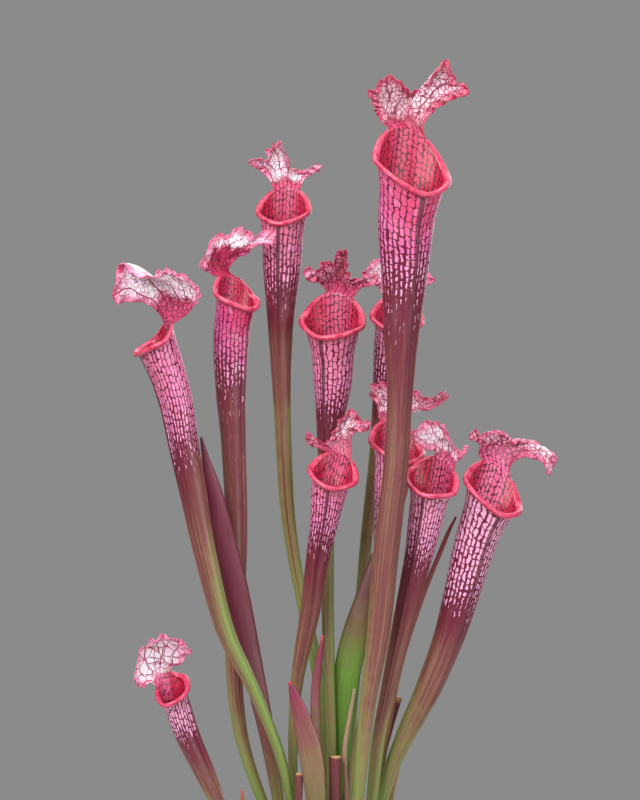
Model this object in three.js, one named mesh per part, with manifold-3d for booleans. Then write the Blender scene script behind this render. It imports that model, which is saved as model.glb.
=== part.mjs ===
// A clump of pink pitcher plant (Sarracenia) on its own root ball.
// Millimetres, +Z up, +X to the right and -Y to the front.
// The origin is the centre of the root ball's flat bottom.
import * as THREE from 'three';
import Module from 'manifold-3d';

const wasm = await Module();
wasm.setup();

// Root ball. BALL_PROFILE: [share of the radius, share of the height] from the middle of the foot to the
// middle of the top. The side is rough in two waves of [height, count round the ball, turn per ring].
const BALL_HEIGHT = 104;
const BALL_TOP_RADIUS = 79;
const BALL_FOOT_RADIUS = 62;
const BALL_MOUND = 4;
const BALL_SIDES = 26;
const BALL_PROFILE = [
  [0.5, 0], [0.96, 0], [1, 0.04], [1, 0.25], [1, 0.5], [1, 0.75], [1, 0.93], [0.96, 1], [0.7, 1], [0.35, 1],
];
const BALL_ROUGHNESS = [[1.2, 5, 1.7], [0.8, 9, -1]];
const TOP_ROUGHNESS = [[0.7, 4, 3]];
const PEAT = { colour: 0x3b2c22, roughness: 0.95 };

// Rhizome: the woody crown, with arms that run between the leaf bases. An arm's points are [x, y, z,
// radius].
const RHIZOME_ARMS = [
  [[-34, 6, 99, 6], [-20, 4, 102, 9], [2, 1, 103, 11], [24, 1, 103, 11], [42, 0, 102, 9.5], [56, 6, 99, 6]],
  [[6, 2, 101, 8], [10, 16, 102, 9], [17, 30, 101, 7], [20, 38, 99, 4]],
  [[12, 0, 101, 9], [8, -14, 102, 9], [5, -26, 101, 7], [2, -34, 99, 4]],
  [[26, -4, 101, 9], [30, -18, 102, 8], [33, -29, 101, 6], [34, -35, 99, 3.5]],
];
const RHIZOME_ROWS = 5;
const RHIZOME_SIDES = 7;
const RHIZOME_KNOBS = { height: 0.12, count: 3, turnPerRow: 2.1 };
const WOOD = { colour: 0x5b4030, roughness: 0.85 };

// Gap that a leaf base, or the rhizome, keeps to the hole that it stands in
const HOLE_GAP = 1.3;
const HOLE_SIDES = 7;
const HOLE_TOP = BALL_HEIGHT + 14;

// Pitchers. Angles go round the tube in degrees, from 0 at its keel to 180 at the middle of its neck.
// Shares along the tube go from 0 at its foot to 1 at its mouth. The tube is DEPTH_AT_FOOT to
// DEPTH_AT_MOUTH times as deep as it is wide. It flares to the mouth from FLARE_FROM up, most at the keel
// and less past FLARE_FADE, and it leans into its slant from SLANT_FROM up. SPOUT: how far the rim comes
// to a point over the keel, from 0 to 1. Behind NECK_FROM degrees the rim rises by NECK_RISE of the
// mouth's half-width to the waist of the neck, which is narrower by NECK_WAIST.
const WALL = 1.1;
const NECK_HALF_ANGLE = 42;
const DEPTH_AT_FOOT = 0.72;
const DEPTH_AT_MOUTH = 0.9;
const DEPTH_GROWS = [0.2, 0.8];
const FLARE_FROM = 0.92;
const FLARE_FADE = [110, 155];
const FLARE_LOST_AT_NECK = 0.6;
const SLANT_FROM = 0.72;
const SPOUT = 0.4;
const SPOUT_BLUNTNESS = 0.25;
const NECK_FROM = 84;
const NECK_STARTS = 0.9;
const NECK_RISE = 0.42;
const NECK_WAIST = 0.12;
const WING_RISES = [0.1, 0.45];
const WING_ENDS = [0.9, 1];
const CAVITY_FROM_RADIUS = 6.5;
const TUBE_ROWS = [0, 0.12, 0.25, 0.38, 0.51, 0.64, 0.77, 0.88, 0.94, 1];
const FRONT_ANGLES = [0, 9, 38, 67, 94, 118];

// Rolled lip: its section as [outwards, upwards] in lip radii; it thins from LIP_THINS_FROM degrees to
// the neck
const LIP_PROFILE = [[0.7, -0.9], [1.8, -0.45], [1.75, 0.55], [0.8, 1.0]];
const LIP_AT_NECK = 0.9;
const LIP_THINS_FROM = 96;

// Lid: the waves of its margin fan out from RUFFLE_CENTRE up the lid, fade out within RUFFLE_REACH of the
// margin, and start between RUFFLE_STARTS up the lid
const LID_ROWS = 7;
const LID_COLUMNS = 10;
const RUFFLE_CENTRE = 0.2;
const RUFFLE_FAN = 1.4;
const RUFFLE_REACH = 0.55;
const RUFFLE_TOP_REACH = 1.1;
const RUFFLE_STARTS = [0.15, 0.5];
const PITCHER = { colour: 0xc2506e, roughness: 0.5 };

// Each pitcher is one leaf.
// spine: points [x, y, z, half-width] from its foot to the middle of its mouth
// faces: the way opposite the neck, in degrees from the front towards the right
// keel: how far past faces the keel is, in degrees; tips: how far past faces the mouth tips forward
// slant: how far the mouth tips forward, in degrees
// mouth: half-width of the rim; lip: radius of the rolled lip; wing: height of the keel down the front
// lid: its outline, as offsets [x, y, z] from the middle of the mouth. left and right go up its two sides
// from the neck to the ears, and top goes from the left ear over the apex to the right ear. belly: how
// far its middle bows back. ruffle: height, count and phase of the waves in its margin.
const PITCHERS = {
  pitcher_01: {
    spine: [[31, -25, 96, 3.6], [39, -28, 184, 5.5], [47, -29, 237, 8], [52, -29, 290, 9],
      [59, -28, 352, 8.8], [62, -26, 400, 9], [63, -25, 440, 12], [65, -24, 480, 15.5], [66, -24, 520, 19.5],
      [70, -24, 560, 21]],
    faces: 14, keel: 12, tips: 10, slant: 41, mouth: 24.5, lip: 2.3, wing: 2,
    lid: {
      left: [[-21, 16, 35], [-25, 17, 45], [-32, 14, 57]],
      top: [[-32, 14, 57], [-25, 10, 56], [-21, 7, 62], [-14, 8, 65], [-6, 12, 61], [0, 19, 56],
        [9, 19, 57], [17, 12, 66], [24, 6, 75], [30, 9, 66], [33, 12, 60], [38, 13, 60], [43, 14, 52]],
      right: [[9, 17, 30], [17, 18, 42], [31, 16, 50], [43, 14, 52]],
      belly: 5, ruffle: [1.6, 8, 0.4],
    },
  },
  pitcher_02: {
    spine: [[11, 24, 96, 4], [7, 26, 194, 4.5], [-5, 28, 254, 4.2], [-12, 30, 291, 4.6],
      [-17, 32, 332, 5.3], [-20, 34, 400, 6.5], [-21, 36, 455, 9.5], [-20, 36, 500, 14],
      [-19, 36, 535, 14.5]],
    faces: -8, keel: -4, tips: 0, slant: 35, mouth: 17, lip: 1.9, wing: 1.5,
    lid: {
      left: [[-11, 13, 24], [-19, 13, 31], [-27, 10, 35]],
      top: [[-27, 10, 35], [-19, 8, 39], [-14, 12, 36], [-12, 9, 44], [-7, 6, 48], [-3, 4, 49], [1, 9, 43],
        [4, 13, 34], [10, 14, 30], [18, 11, 30], [24, 8, 34], [28, 7, 30]],
      right: [[15, 13, 24], [21, 12, 28], [28, 7, 30]],
      belly: 4, ruffle: [1.5, 8, 1.2],
    },
  },
  pitcher_03: {
    spine: [[-25, 12, 96, 3.6], [-44, 14, 146, 4.6], [-52, 17, 185, 5.8], [-54, 18, 235, 6.8],
      [-52, 20, 300, 8], [-54, 20, 365, 9], [-56, 20, 405, 11], [-56, 20, 442, 13], [-53, 20, 473, 13]],
    faces: 34, keel: 26, tips: 0, slant: 33, mouth: 15, lip: 2, wing: 1.6,
    lid: {
      left: [[-17, 2, 16], [-20, 0, 19], [-25, -2, 21]],
      top: [[-25, -2, 21], [-24, 0, 28], [-19, 2, 35], [-17, 4, 41], [-11, 4, 45], [-5, 2, 44],
        [1, -2, 49], [8, -7, 47], [12, -10, 42], [17, -12, 44], [24, -12, 46], [31, -14, 43]],
      right: [[-5, 8, 19], [1, 2, 27], [8, -4, 30], [15, -9, 36], [26, -12, 37], [31, -14, 43]],
      belly: 5, ruffle: [1.5, 8, 0],
    },
  },
  pitcher_04: {
    spine: [[-9, -10, 96, 3.6], [-20, -12, 150, 5], [-39, -14, 199, 5.8], [-58, -16, 240, 7.4],
      [-72, -18, 294, 8.6], [-80, -18, 335, 10], [-87, -18, 370, 11], [-93, -18, 402, 12.4],
      [-105, -18, 440, 14.5]],
    faces: -76, keel: 0, tips: 30, slant: 15, mouth: 17.5, lip: 2, wing: 1.6,
    lid: {
      left: [[0, 12, 20], [-9, 14, 26], [-20, 15, 29], [-30, 12, 25]],
      top: [[-30, 12, 25], [-32, 8, 38], [-28, 3, 55], [-21, 0, 49], [-15, -3, 47], [-6, -7, 45],
        [1, -10, 49], [8, -12, 48], [13, -12, 47], [19, -14, 48]],
      right: [[21, -8, 20], [28, -14, 30], [26, -15, 40], [19, -14, 48]],
      belly: 5, ruffle: [1.5, 8, 2],
    },
  },
  pitcher_05: {
    spine: [[-11, 8, 96, 3.4], [-12, 5, 158, 3.4], [-9, 1, 204, 4.6], [0, -6, 252, 7], [5, -10, 288, 8],
      [10, -13, 316, 10], [13, -14, 336, 12.5], [16, -14, 348, 13]],
    faces: -12, keel: 10, tips: 8, slant: 35, mouth: 15, lip: 1.9, wing: 1.5,
    lid: {
      left: [[-12, 8, 19], [-17, 5, 21], [-20, 3, 27]],
      top: [[-20, 3, 27], [-17, 2, 30], [-12, 6, 26], [-6, 11, 22], [-1, 12, 25], [2, 12, 31], [6, 11, 38],
        [10, 9, 43], [14, 8, 45], [18, 7, 41], [20, 7, 36], [24, 6, 38], [28, 6, 33]],
      right: [[13, 10, 21], [13, 11, 26], [16, 10, 30], [22, 8, 30], [28, 6, 33]],
      belly: 2, ruffle: [1.5, 8, 0.8],
    },
  },
  pitcher_06: {
    spine: [[15, 9, 96, 3.5], [15, 10, 158, 3.6], [13, 12, 223, 4.2], [12, 14, 287, 5], [12, 16, 345, 6.2],
      [14, 16, 385, 9.8], [16, 16, 415, 14], [16, 16, 455, 16.5]],
    faces: -18, keel: -10, tips: 14, slant: 34, mouth: 20.5, lip: 2.1, wing: 1.8,
    lid: {
      left: [[-5, 16, 23], [-10, 13, 28], [-16, 10, 29], [-22, 8, 34]],
      top: [[-22, 8, 34], [-18, 6, 40], [-12, 9, 37], [-9, 8, 42], [-4, 8, 44], [0, 10, 42], [2, 8, 46],
        [6, 4, 52], [10, 6, 49], [9, 9, 41], [10, 11, 35], [15, 12, 31], [21, 12, 31], [27, 10, 34],
        [33, 8, 34], [34, 8, 29]],
      right: [[17, 13, 21], [20, 12, 25], [27, 11, 26], [34, 8, 29]],
      belly: 4, ruffle: [1.5, 8, 2.2],
    },
  },
  pitcher_07: {
    spine: [[21, 29, 96, 3.6], [29, 34, 172, 4], [37, 41, 264, 4.2], [41, 44, 307, 4.4], [48, 46, 364, 5.4],
      [53, 45, 400, 8.5], [59, 44, 436, 13.5], [62, 43, 458, 14.5]],
    faces: 0, keel: 4, tips: 0, slant: 33, mouth: 16.5, lip: 1.9, wing: 1.4,
    lid: {
      left: [[-11, 14, 20], [-14, 14, 25], [-26, 10, 30]],
      top: [[-26, 10, 30], [-20, 8, 39], [-12, 10, 44], [0, 15, 42], [12, 10, 40], [23, 8, 33],
        [30, 10, 28]],
      right: [[11, 14, 18], [16, 14, 22], [30, 10, 28]],
      belly: 4, ruffle: [1.5, 8, 0.2],
    },
  },
  pitcher_08: {
    spine: [[20, -4, 96, 3.5], [37, 0, 176, 3.7], [46, 4, 225, 4.2], [49, 9, 272, 5.2], [52, 14, 303, 7.2],
      [57, 18, 336, 12], [61, 18, 367, 15]],
    faces: 14, keel: 8, tips: 8, slant: 33, mouth: 17.5, lip: 2, wing: 1.4,
    lid: {
      left: [[-12, 11, 20], [-13, 13, 28], [-20, 8, 37]],
      top: [[-20, 8, 37], [-16, 6, 44], [-5, 10, 45], [5, 14, 42], [15, 12, 39], [26, 6, 33], [33, 3, 39],
        [38, 2, 36]],
      right: [[9, 13, 19], [14, 14, 25], [24, 10, 26], [38, 2, 36]],
      belly: 2, ruffle: [1.5, 8, 1.6],
    },
  },
  pitcher_09: {
    spine: [[41, -8, 96, 4], [47, -8, 158, 5], [54, -7, 195, 5.6], [64, -6, 240, 7.6], [75, -6, 288, 10],
      [80, -7, 314, 12.3], [85, -9, 343, 14.5]],
    faces: -40, keel: 20, tips: 38, slant: 30, mouth: 17.5, lip: 1.9, wing: 1.8,
    lid: {
      left: [[2, 12, 17], [2, 9, 22], [-4, 3, 22], [-12, -3, 29]],
      top: [[-12, -3, 29], [-12, -3, 36], [-4, 0, 42], [4, 4, 41], [9, 7, 36], [12, 8, 31], [15, 8, 26],
        [18, 8, 22], [23, 6, 22], [26, 3, 27]],
      right: [[17, 3, 14], [18, 4, 17], [22, 4, 20], [26, 3, 27]],
      belly: 4, ruffle: [1.4, 8, 0.9],
    },
  },
  pitcher_10: {
    spine: [[45, 6, 96, 3.6], [55, 6, 135, 5], [66, 6, 162, 6.6], [82, 6, 195, 9], [97, 6, 232, 10.8],
      [107, 6, 266, 12.8], [116, 6, 300, 14.8], [128, 6, 334, 17.5]],
    faces: 8, keel: 20, tips: 20, slant: 33, mouth: 20, lip: 2.2, wing: 2,
    lid: {
      left: [[-9, 11, 28], [-8, 9, 35], [-15, 5, 38], [-17, 4, 41]],
      top: [[-17, 4, 41], [-12, 5, 46], [-8, 9, 40], [-5, 9, 43], [1, 13, 44], [7, 14, 44], [13, 14, 40],
        [16, 13, 36], [22, 13, 37], [29, 12, 36], [36, 7, 33], [39, 6, 28], [44, 5, 28], [45, 4, 22],
        [40, 3, 11]],
      right: [[14, 13, 20], [21, 10, 25], [28, 5, 25], [35, 1, 22], [38, -1, 16], [40, 3, 11]],
      belly: 4, ruffle: [1.4, 8, 0.5],
    },
  },
  pitcher_11: {
    spine: [[-54, -8, 96, 4], [-65, -9, 121, 6], [-75, -10, 143, 7.2], [-87, -12, 170, 8.4],
      [-96, -14, 198, 9.4]],
    faces: 50, keel: 25, tips: -56, slant: 36, mouth: 11.6, lip: 1.6, wing: 2.2,
    lid: {
      left: [[-14, -3, 6], [-20, -4, 3], [-24, -5, 6], [-25, -6, 10]],
      top: [[-25, -6, 10], [-25, -7, 18], [-22, -8, 26], [-16, -9, 33], [-10, -10, 37], [-3, -10, 39],
        [5, -12, 37], [10, -12, 34], [14, -12, 30], [14, -9, 26]],
      right: [[-3, 8, 12], [1, 7, 17], [6, 4, 17], [7, 1, 20], [9, -3, 25], [14, -9, 26]],
      belly: 5, ruffle: [1.1, 8, 0.6],
    },
  },
};

// Flat and solid leaves. spine as for the pitchers. faces: the way the flat side looks. least: the least
// half-thickness. rows: rings along the leaf.
const SOLID_LEAVES = {
  sword_leaf_left: {
    spine: [[-18, -1, 96, 3.4], [-24, 2, 130, 4.4], [-30, 4, 165, 5.6], [-42, 8, 220, 7.6],
      [-52, 6, 268, 8.6],
      [-60, 3, 300, 8.4], [-67, -2, 335, 5.8], [-73, -4, 360, 2.6], [-76, -5, 374, 0.9]],
    faces: 10, least: 0.9, colour: 0x783c42,
  },
  sword_leaf_middle: {
    spine: [[19, 17, 96, 4.2], [20, 17, 130, 5.8], [22, 17, 165, 7.4], [25, 17, 200, 9.4],
      [31, 17, 230, 9.6], [38, 18, 258, 7], [43, 20, 280, 3.6], [45, 22, 292, 1]],
    faces: -8, least: 0.9, colour: 0x6f8f3c,
  },
  shoot_front: {
    spine: [[4, -24, 96, 4], [4, -25, 128, 7.2], [0, -26, 158, 8.2], [-6, -27, 182, 6],
      [-11, -27, 197, 3.4], [-14, -28, 206, 0.9]],
    faces: -8, least: 1.5, colour: 0x6b3038,
  },
  shoot_back: {
    spine: [[6, -8, 96, 3], [5, -9, 140, 3.4], [4, -9, 175, 3.6], [4, -9, 200, 3.4], [7, -9, 222, 2.2],
      [9, -9, 236, 0.8]],
    faces: 20, least: 1.2, rows: 9, colour: 0x8c2f36,
  },
  cut_stub_middle: {
    spine: [[17, -15, 96, 3.6], [17.5, -15.5, 115, 3.9], [17.5, -16, 138, 4.1], [17.5, -16.5, 153, 4.2]],
    faces: 0, least: 2.4, rows: 4, colour: 0x5a2a30,
  },
  cut_stub_right: {
    spine: [[40, 20, 96, 3], [46, 20, 125, 3.2], [53, 20, 158, 3.3], [62, 20, 190, 3.4]],
    faces: 15, least: 1.6, rows: 4, colour: 0x6a4636,
  },
  cut_stub_left: {
    spine: [[-8, -22, 96, 2.2], [-8, -22, 115, 2.4], [-7, -22, 142, 2.5]],
    faces: 0, least: 1.5, rows: 3, colour: 0x5e4a36,
  },
  dry_strip: {
    spine: [[26, -11, 96, 1.6], [25, -10, 130, 1.7], [24, -10, 155, 1.6], [27, -10, 176, 1.4],
      [31, -10, 199, 1]],
    faces: -20, least: 0.5, rows: 5, colour: 0xb9a48c,
  },
  thin_stalk: {
    spine: [[43, 14, 96, 2], [52, 14, 150, 2], [63, 13, 210, 1.9], [78, 12, 258, 1.8], [93, 12, 296, 1.6],
      [98, 12, 308, 1.3], [103, 12, 318, 0.7]],
    faces: 0, least: 0.7, colour: 0x8a4a3c,
  },
  young_tip_right: {
    spine: [[54, 17, 96, 2], [58, 17, 125, 2.1], [64, 17, 148, 1.8], [71, 17, 164, 0.8]],
    faces: 0, least: 0.8, rows: 6, colour: 0xb0502c,
  },
  young_tip_left: {
    spine: [[-47, 8, 96, 1.8], [-47, 8, 110, 1.8], [-47.5, 8, 120, 1.3], [-48, 8, 126, 0.7]],
    faces: 0, least: 0.7, rows: 5, colour: 0x9c5a5c,
  },
};
const SOLID_ROWS = 12;
const SOLID_SIDES = 10;
const SOLID_FLATNESS = 0.3;
const SOLID_ROUGHNESS = 0.6;

// Steps for the slope of a spine, the slope of a lid and the search for a foot's hole
const SPINE_STEP = 0.01;
const SHEET_STEP = 0.02;
const HOLE_STEP = 0.01;

const rad = THREE.MathUtils.degToRad;
const vec = (x, y, z) => new THREE.Vector3(x, y, z);

function smoothstep(from, to, x) {
  const t = Math.min(1, Math.max(0, (x - from) / (to - from)));
  return t * t * (3 - 2 * t);
}

// A smooth value through evenly spaced numbers, at t from 0 to 1
function through(values, t) {
  const last = values.length - 1;
  const at = Math.min(1, Math.max(0, t)) * last;
  const i = Math.min(last - 1, Math.floor(at));
  const u = at - i;
  const b = values[i];
  const c = values[i + 1];
  const a = i > 0 ? values[i - 1] : 2 * b - c;
  const d = i + 2 <= last ? values[i + 2] : 2 * c - b;
  return b + 0.5 * u * (c - a + u * (2 * a - 5 * b + 4 * c - d + u * (3 * (b - c) + d - a)));
}

// Middle, half-width and axes of a leaf at s, from 0 at its foot to 1 at its mouth or tip
function spineAt(spine, faces, s) {
  const at = (t) => vec(...[0, 1, 2].map((k) => through(spine.map((point) => point[k]), t)));
  const up = at(Math.min(1, s + SPINE_STEP)).sub(at(Math.max(0, s - SPINE_STEP))).normalize();
  const look = vec(Math.sin(rad(faces)), -Math.cos(rad(faces)), 0);
  const front = look.addScaledVector(up, -look.dot(up)).normalize();
  const side = up.clone().cross(front);
  return { middle: at(s), half: through(spine.map((point) => point[3]), s), up, front, side };
}

// Collects a closed mesh. Corners of a face go anticlockwise when seen from outside.
class Skin {
  constructor() {
    this.points = [];
    this.faces = [];
  }

  add(point) {
    this.points.push(point.x, point.y, point.z);
    return this.points.length / 3 - 1;
  }

  triangle(a, b, c) {
    this.faces.push(a, b, c);
  }

  quad(a, b, c, d) {
    this.faces.push(a, b, c, a, c, d);
  }

  // A strip between two rows of points that run the same way; the outside is on the left of the first row
  strip(low, high, closed) {
    const n = low.length;
    for (let j = 0; j < (closed ? n : n - 1); j++) {
      const k = (j + 1) % n;
      this.quad(low[j], low[k], high[k], high[j]);
    }
  }

  fan(centre, ring, reversed) {
    const middle = this.add(centre);
    ring.forEach((point, j) => {
      const next = ring[(j + 1) % ring.length];
      if (reversed) this.triangle(middle, next, point);
      else this.triangle(middle, point, next);
    });
  }

  geometry() {
    const geometry = new THREE.BufferGeometry();
    geometry.setAttribute('position', new THREE.Float32BufferAttribute(this.points, 3));
    geometry.setIndex(this.faces);
    geometry.computeVertexNormals();
    return geometry;
  }
}

const degreesFromKeel = (angle) => Math.abs(((angle + 180) % 360) - 180);

// Point on a pitcher's tube: angle in degrees from the keel, s up the tube, inset inwards from its outer
// face
function tubePoint(pitcher, angle, s, inset) {
  const { middle, half, up, front, side } = spineAt(pitcher.spine, pitcher.faces, s);
  const flare = (pitcher.mouth - pitcher.spine.at(-1)[3]) * smoothstep(FLARE_FROM, 1, s);
  const lost = smoothstep(...FLARE_FADE, degreesFromKeel(angle));
  const towardsNeck = smoothstep(NECK_FROM, 180 - NECK_HALF_ANGLE, degreesFromKeel(angle));
  const neck = towardsNeck * smoothstep(NECK_STARTS, 1, s);
  const wide = (half + flare * (1 - lost * FLARE_LOST_AT_NECK)) * (1 - NECK_WAIST * neck) - inset;
  const deep = (half + flare * (1 - lost)) * depthAt(s) - inset;
  const drop = pitcher.mouth * DEPTH_AT_MOUTH * Math.tan(rad(pitcher.slant));
  const slanted = drop * forward(pitcher, angle) * smoothstep(SLANT_FROM, 1, s);
  const rise = NECK_RISE * pitcher.mouth * neck - slanted;
  const turn = rad(bearing(pitcher, angle));
  return middle.addScaledVector(up, rise)
    .addScaledVector(side, wide * Math.sin(turn))
    .addScaledVector(front, deep * Math.cos(turn));
}

// Where an angle from the keel lies, in degrees from the front; the neck stays at the back
function bearing(pitcher, angle) {
  return angle + pitcher.keel * Math.max(0, 1 - degreesFromKeel(angle) / (180 - NECK_HALF_ANGLE));
}

// Share of the rim's drop at an angle: 1 where the mouth tips to and -1 opposite, with a blunt spout over
// the keel
function forward(pitcher, angle) {
  const round = Math.cos(rad(angle));
  const away = (across) => Math.hypot(across, SPOUT_BLUNTNESS);
  const pointed = (away(1) - away(Math.sin(rad(angle)))) / (away(1) - away(0));
  const spout = round < 0 ? 0 : pointed - round;
  return Math.cos(rad(bearing(pitcher, angle) - pitcher.tips)) + SPOUT * spout;
}

function depthAt(s) {
  return DEPTH_AT_FOOT + (DEPTH_AT_MOUTH - DEPTH_AT_FOOT) * smoothstep(...DEPTH_GROWS, s);
}

// The keel down the front of a pitcher is highest on the middle of the tube and ends under the lip
function wingHeight(pitcher, s) {
  return pitcher.wing * smoothstep(...WING_RISES, s) * (1 - smoothstep(...WING_ENDS, s));
}

// Radius of the rolled lip: full round the front and the sides, small where it meets the neck
function lipRadius(pitcher, angle) {
  const thinned = smoothstep(LIP_THINS_FROM, 180 - NECK_HALF_ANGLE, degreesFromKeel(angle));
  return LIP_AT_NECK + (pitcher.lip - LIP_AT_NECK) * (1 - thinned);
}

// Middle of the lid's sheet at b, from -1 at its left edge to 1 at its right edge, and v up from the
// neck: a patch that spans its four edges, bowed back in the middle and waved along the margin
function lidPoint(pitcher, b, v) {
  const { lid } = pitcher;
  const mouth = vec(...pitcher.spine.at(-1));
  const rim = (side) => tubePoint(pitcher, 180 - NECK_HALF_ANGLE * side, 1, WALL / 2).sub(mouth);
  const along = (points, t) => vec(...[0, 1, 2].map((k) => through(points.map((point) => point[k]), t)));
  const feet = [rim(-1), rim(1)];
  const ears = [vec(...lid.top[0]), vec(...lid.top.at(-1))];
  const across = (b + 1) / 2;
  const point = along([feet[0].toArray(), ...lid.left], v).multiplyScalar(1 - across)
    .addScaledVector(along([feet[1].toArray(), ...lid.right], v), across)
    .addScaledVector(rim(b), 1 - v)
    .addScaledVector(along(lid.top, across), v)
    .addScaledVector(feet[0], -(1 - across) * (1 - v))
    .addScaledVector(feet[1], -across * (1 - v))
    .addScaledVector(ears[0], -(1 - across) * v)
    .addScaledVector(ears[1], -across * v);
  const { front } = spineAt(pitcher.spine, pitcher.faces, 1);
  const bow = -lid.belly * (1 - b * b) * 4 * v * (1 - v);
  return point.addScaledVector(front, bow + lidRuffle(lid, b, v)).add(mouth);
}

// Waves of the lid's margin, which fan out from the neck and fade inwards
function lidRuffle(lid, b, v) {
  const [height, count, phase] = lid.ruffle;
  const edge = Math.min(1 - Math.abs(b), RUFFLE_TOP_REACH * (1 - v));
  const fan = Math.atan2(b, RUFFLE_FAN * (v - RUFFLE_CENTRE));
  const strength = smoothstep(RUFFLE_REACH, 0, edge) * smoothstep(...RUFFLE_STARTS, v);
  return height * strength * Math.sin(count * fan + phase);
}

// Back or front face of the lid: its middle, moved half the wall along the sheet's normal
function lidFace(pitcher, b, v, sign) {
  const left = lidPoint(pitcher, Math.max(-1, b - SHEET_STEP), v);
  const right = lidPoint(pitcher, Math.min(1, b + SHEET_STEP), v);
  const below = lidPoint(pitcher, b, Math.max(0, v - SHEET_STEP));
  const above = lidPoint(pitcher, b, Math.min(1, v + SHEET_STEP));
  const normal = right.sub(left).cross(above.sub(below)).normalize();
  return lidPoint(pitcher, b, v).addScaledVector(normal, (sign * WALL) / 2);
}

function pitcherGeometry(pitcher) {
  const skin = new Skin();
  const neckStart = 180 - NECK_HALF_ANGLE;
  const right = [...FRONT_ANGLES, neckStart];
  const back = Array.from({ length: LID_COLUMNS - 1 }, (_, c) =>
    neckStart + (2 * NECK_HALF_ANGLE * (c + 1)) / LID_COLUMNS);
  const angles = [...right, ...back, ...right.slice(1).reverse().map((angle) => 360 - angle)];
  const first = right.length - 1;
  const last = first + LID_COLUMNS;
  const hollowFrom = TUBE_ROWS.findIndex((s) => spineAt(pitcher.spine, 0, s).half > CAVITY_FROM_RADIUS);

  const outer = TUBE_ROWS.map((s) => angles.map((angle) => {
    const { front, side } = spineAt(pitcher.spine, pitcher.faces, s);
    const keel = angle === 0 ? wingHeight(pitcher, s) : 0;
    return skin.add(tubePoint(pitcher, angle, s, 0)
      .addScaledVector(side, keel * Math.sin(rad(pitcher.keel)))
      .addScaledVector(front, keel * Math.cos(rad(pitcher.keel))));
  }));
  const inner = TUBE_ROWS.slice(hollowFrom).map((s) => angles.map((angle) =>
    skin.add(tubePoint(pitcher, angle, s, WALL))));
  for (let i = 1; i < outer.length; i++) skin.strip(outer[i - 1], outer[i], true);
  for (let i = 1; i < inner.length; i++) skin.strip(inner[i], inner[i - 1], true);
  skin.fan(spineAt(pitcher.spine, pitcher.faces, 0).middle, outer[0], true);
  skin.fan(spineAt(pitcher.spine, pitcher.faces, TUBE_ROWS[hollowFrom]).middle, inner[0], false);

  const { up, front, side } = spineAt(pitcher.spine, pitcher.faces, 1);
  const rimAngles = [...angles.slice(last), ...angles.slice(0, first + 1)];
  const around = (row) => [...row.slice(last), ...row.slice(0, first + 1)];
  const lip = LIP_PROFILE.map(([out, high]) => rimAngles.map((angle) => {
    const radius = lipRadius(pitcher, angle);
    const turn = rad(bearing(pitcher, angle));
    return skin.add(tubePoint(pitcher, angle, 1, 0)
      .addScaledVector(side, out * radius * Math.sin(turn))
      .addScaledVector(front, out * radius * Math.cos(turn))
      .addScaledVector(up, high * radius));
  }));
  const rings = [around(outer.at(-1)), ...lip, around(inner.at(-1))];
  for (let i = 1; i < rings.length; i++) skin.strip(rings[i - 1], rings[i], false);

  const lidRows = (sign, start) => {
    const rows = [start.slice(first, last + 1)];
    for (let r = 1; r <= LID_ROWS; r++) {
      rows.push(Array.from({ length: LID_COLUMNS + 1 }, (_, c) =>
        skin.add(lidFace(pitcher, 1 - (2 * c) / LID_COLUMNS, r / LID_ROWS, sign))));
    }
    return rows;
  };
  const rear = lidRows(-1, outer.at(-1));
  const face = lidRows(1, inner.at(-1));
  for (let r = 1; r <= LID_ROWS; r++) {
    skin.strip(rear[r - 1], rear[r], false);
    skin.strip(face[r], face[r - 1], false);
    skin.quad(rear[r - 1][0], rear[r][0], face[r][0], face[r - 1][0]);
    skin.quad(rear[r].at(-1), rear[r - 1].at(-1), face[r - 1].at(-1), face[r].at(-1));
  }
  skin.strip(rear[LID_ROWS], face[LID_ROWS], false);
  for (let i = 1; i < rings.length - 1; i++) {
    skin.triangle(rings.at(-1).at(-1), rings[i].at(-1), rings[i - 1].at(-1));
    skin.triangle(rings[0][0], rings[i][0], rings[i + 1][0]);
  }
  return skin.geometry();
}

// A round or flat leaf, or the lower end of a pitcher: rings along its spine up to the share called to
function leafGeometry(leaf, { grow = 0, rows = leaf.rows ?? SOLID_ROWS, sides = SOLID_SIDES, to = 1 } = {}) {
  const skin = new Skin();
  const rings = Array.from({ length: rows }, (_, i) => {
    const s = (to * i) / (rows - 1);
    const { middle, half, front, side } = spineAt(leaf.spine, leaf.faces, s);
    const deep = leaf.lid ? half * depthAt(s) : Math.max(Math.min(half, leaf.least), half * SOLID_FLATNESS);
    return Array.from({ length: sides }, (_, j) => {
      const angle = rad((360 * j) / sides);
      return skin.add(middle.clone()
        .addScaledVector(side, (half + grow) * Math.sin(angle))
        .addScaledVector(front, (deep + grow) * Math.cos(angle)));
    });
  });
  for (let i = 1; i < rings.length; i++) skin.strip(rings[i - 1], rings[i], true);
  skin.fan(spineAt(leaf.spine, leaf.faces, 0).middle, rings[0], true);
  skin.fan(spineAt(leaf.spine, leaf.faces, to).middle, rings.at(-1), false);
  return skin.geometry();
}

function toSolid(geometry) {
  return new wasm.Manifold(new wasm.Mesh({
    numProp: 3,
    vertProperties: new Float32Array(geometry.attributes.position.array),
    triVerts: new Uint32Array(geometry.index.array),
  }));
}

function fromSolid(solid) {
  const mesh = solid.getMesh();
  const geometry = new THREE.BufferGeometry();
  geometry.setAttribute('position', new THREE.BufferAttribute(mesh.vertProperties, 3));
  geometry.setIndex(new THREE.BufferAttribute(mesh.triVerts, 1));
  geometry.computeVertexNormals();
  return geometry;
}

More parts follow.
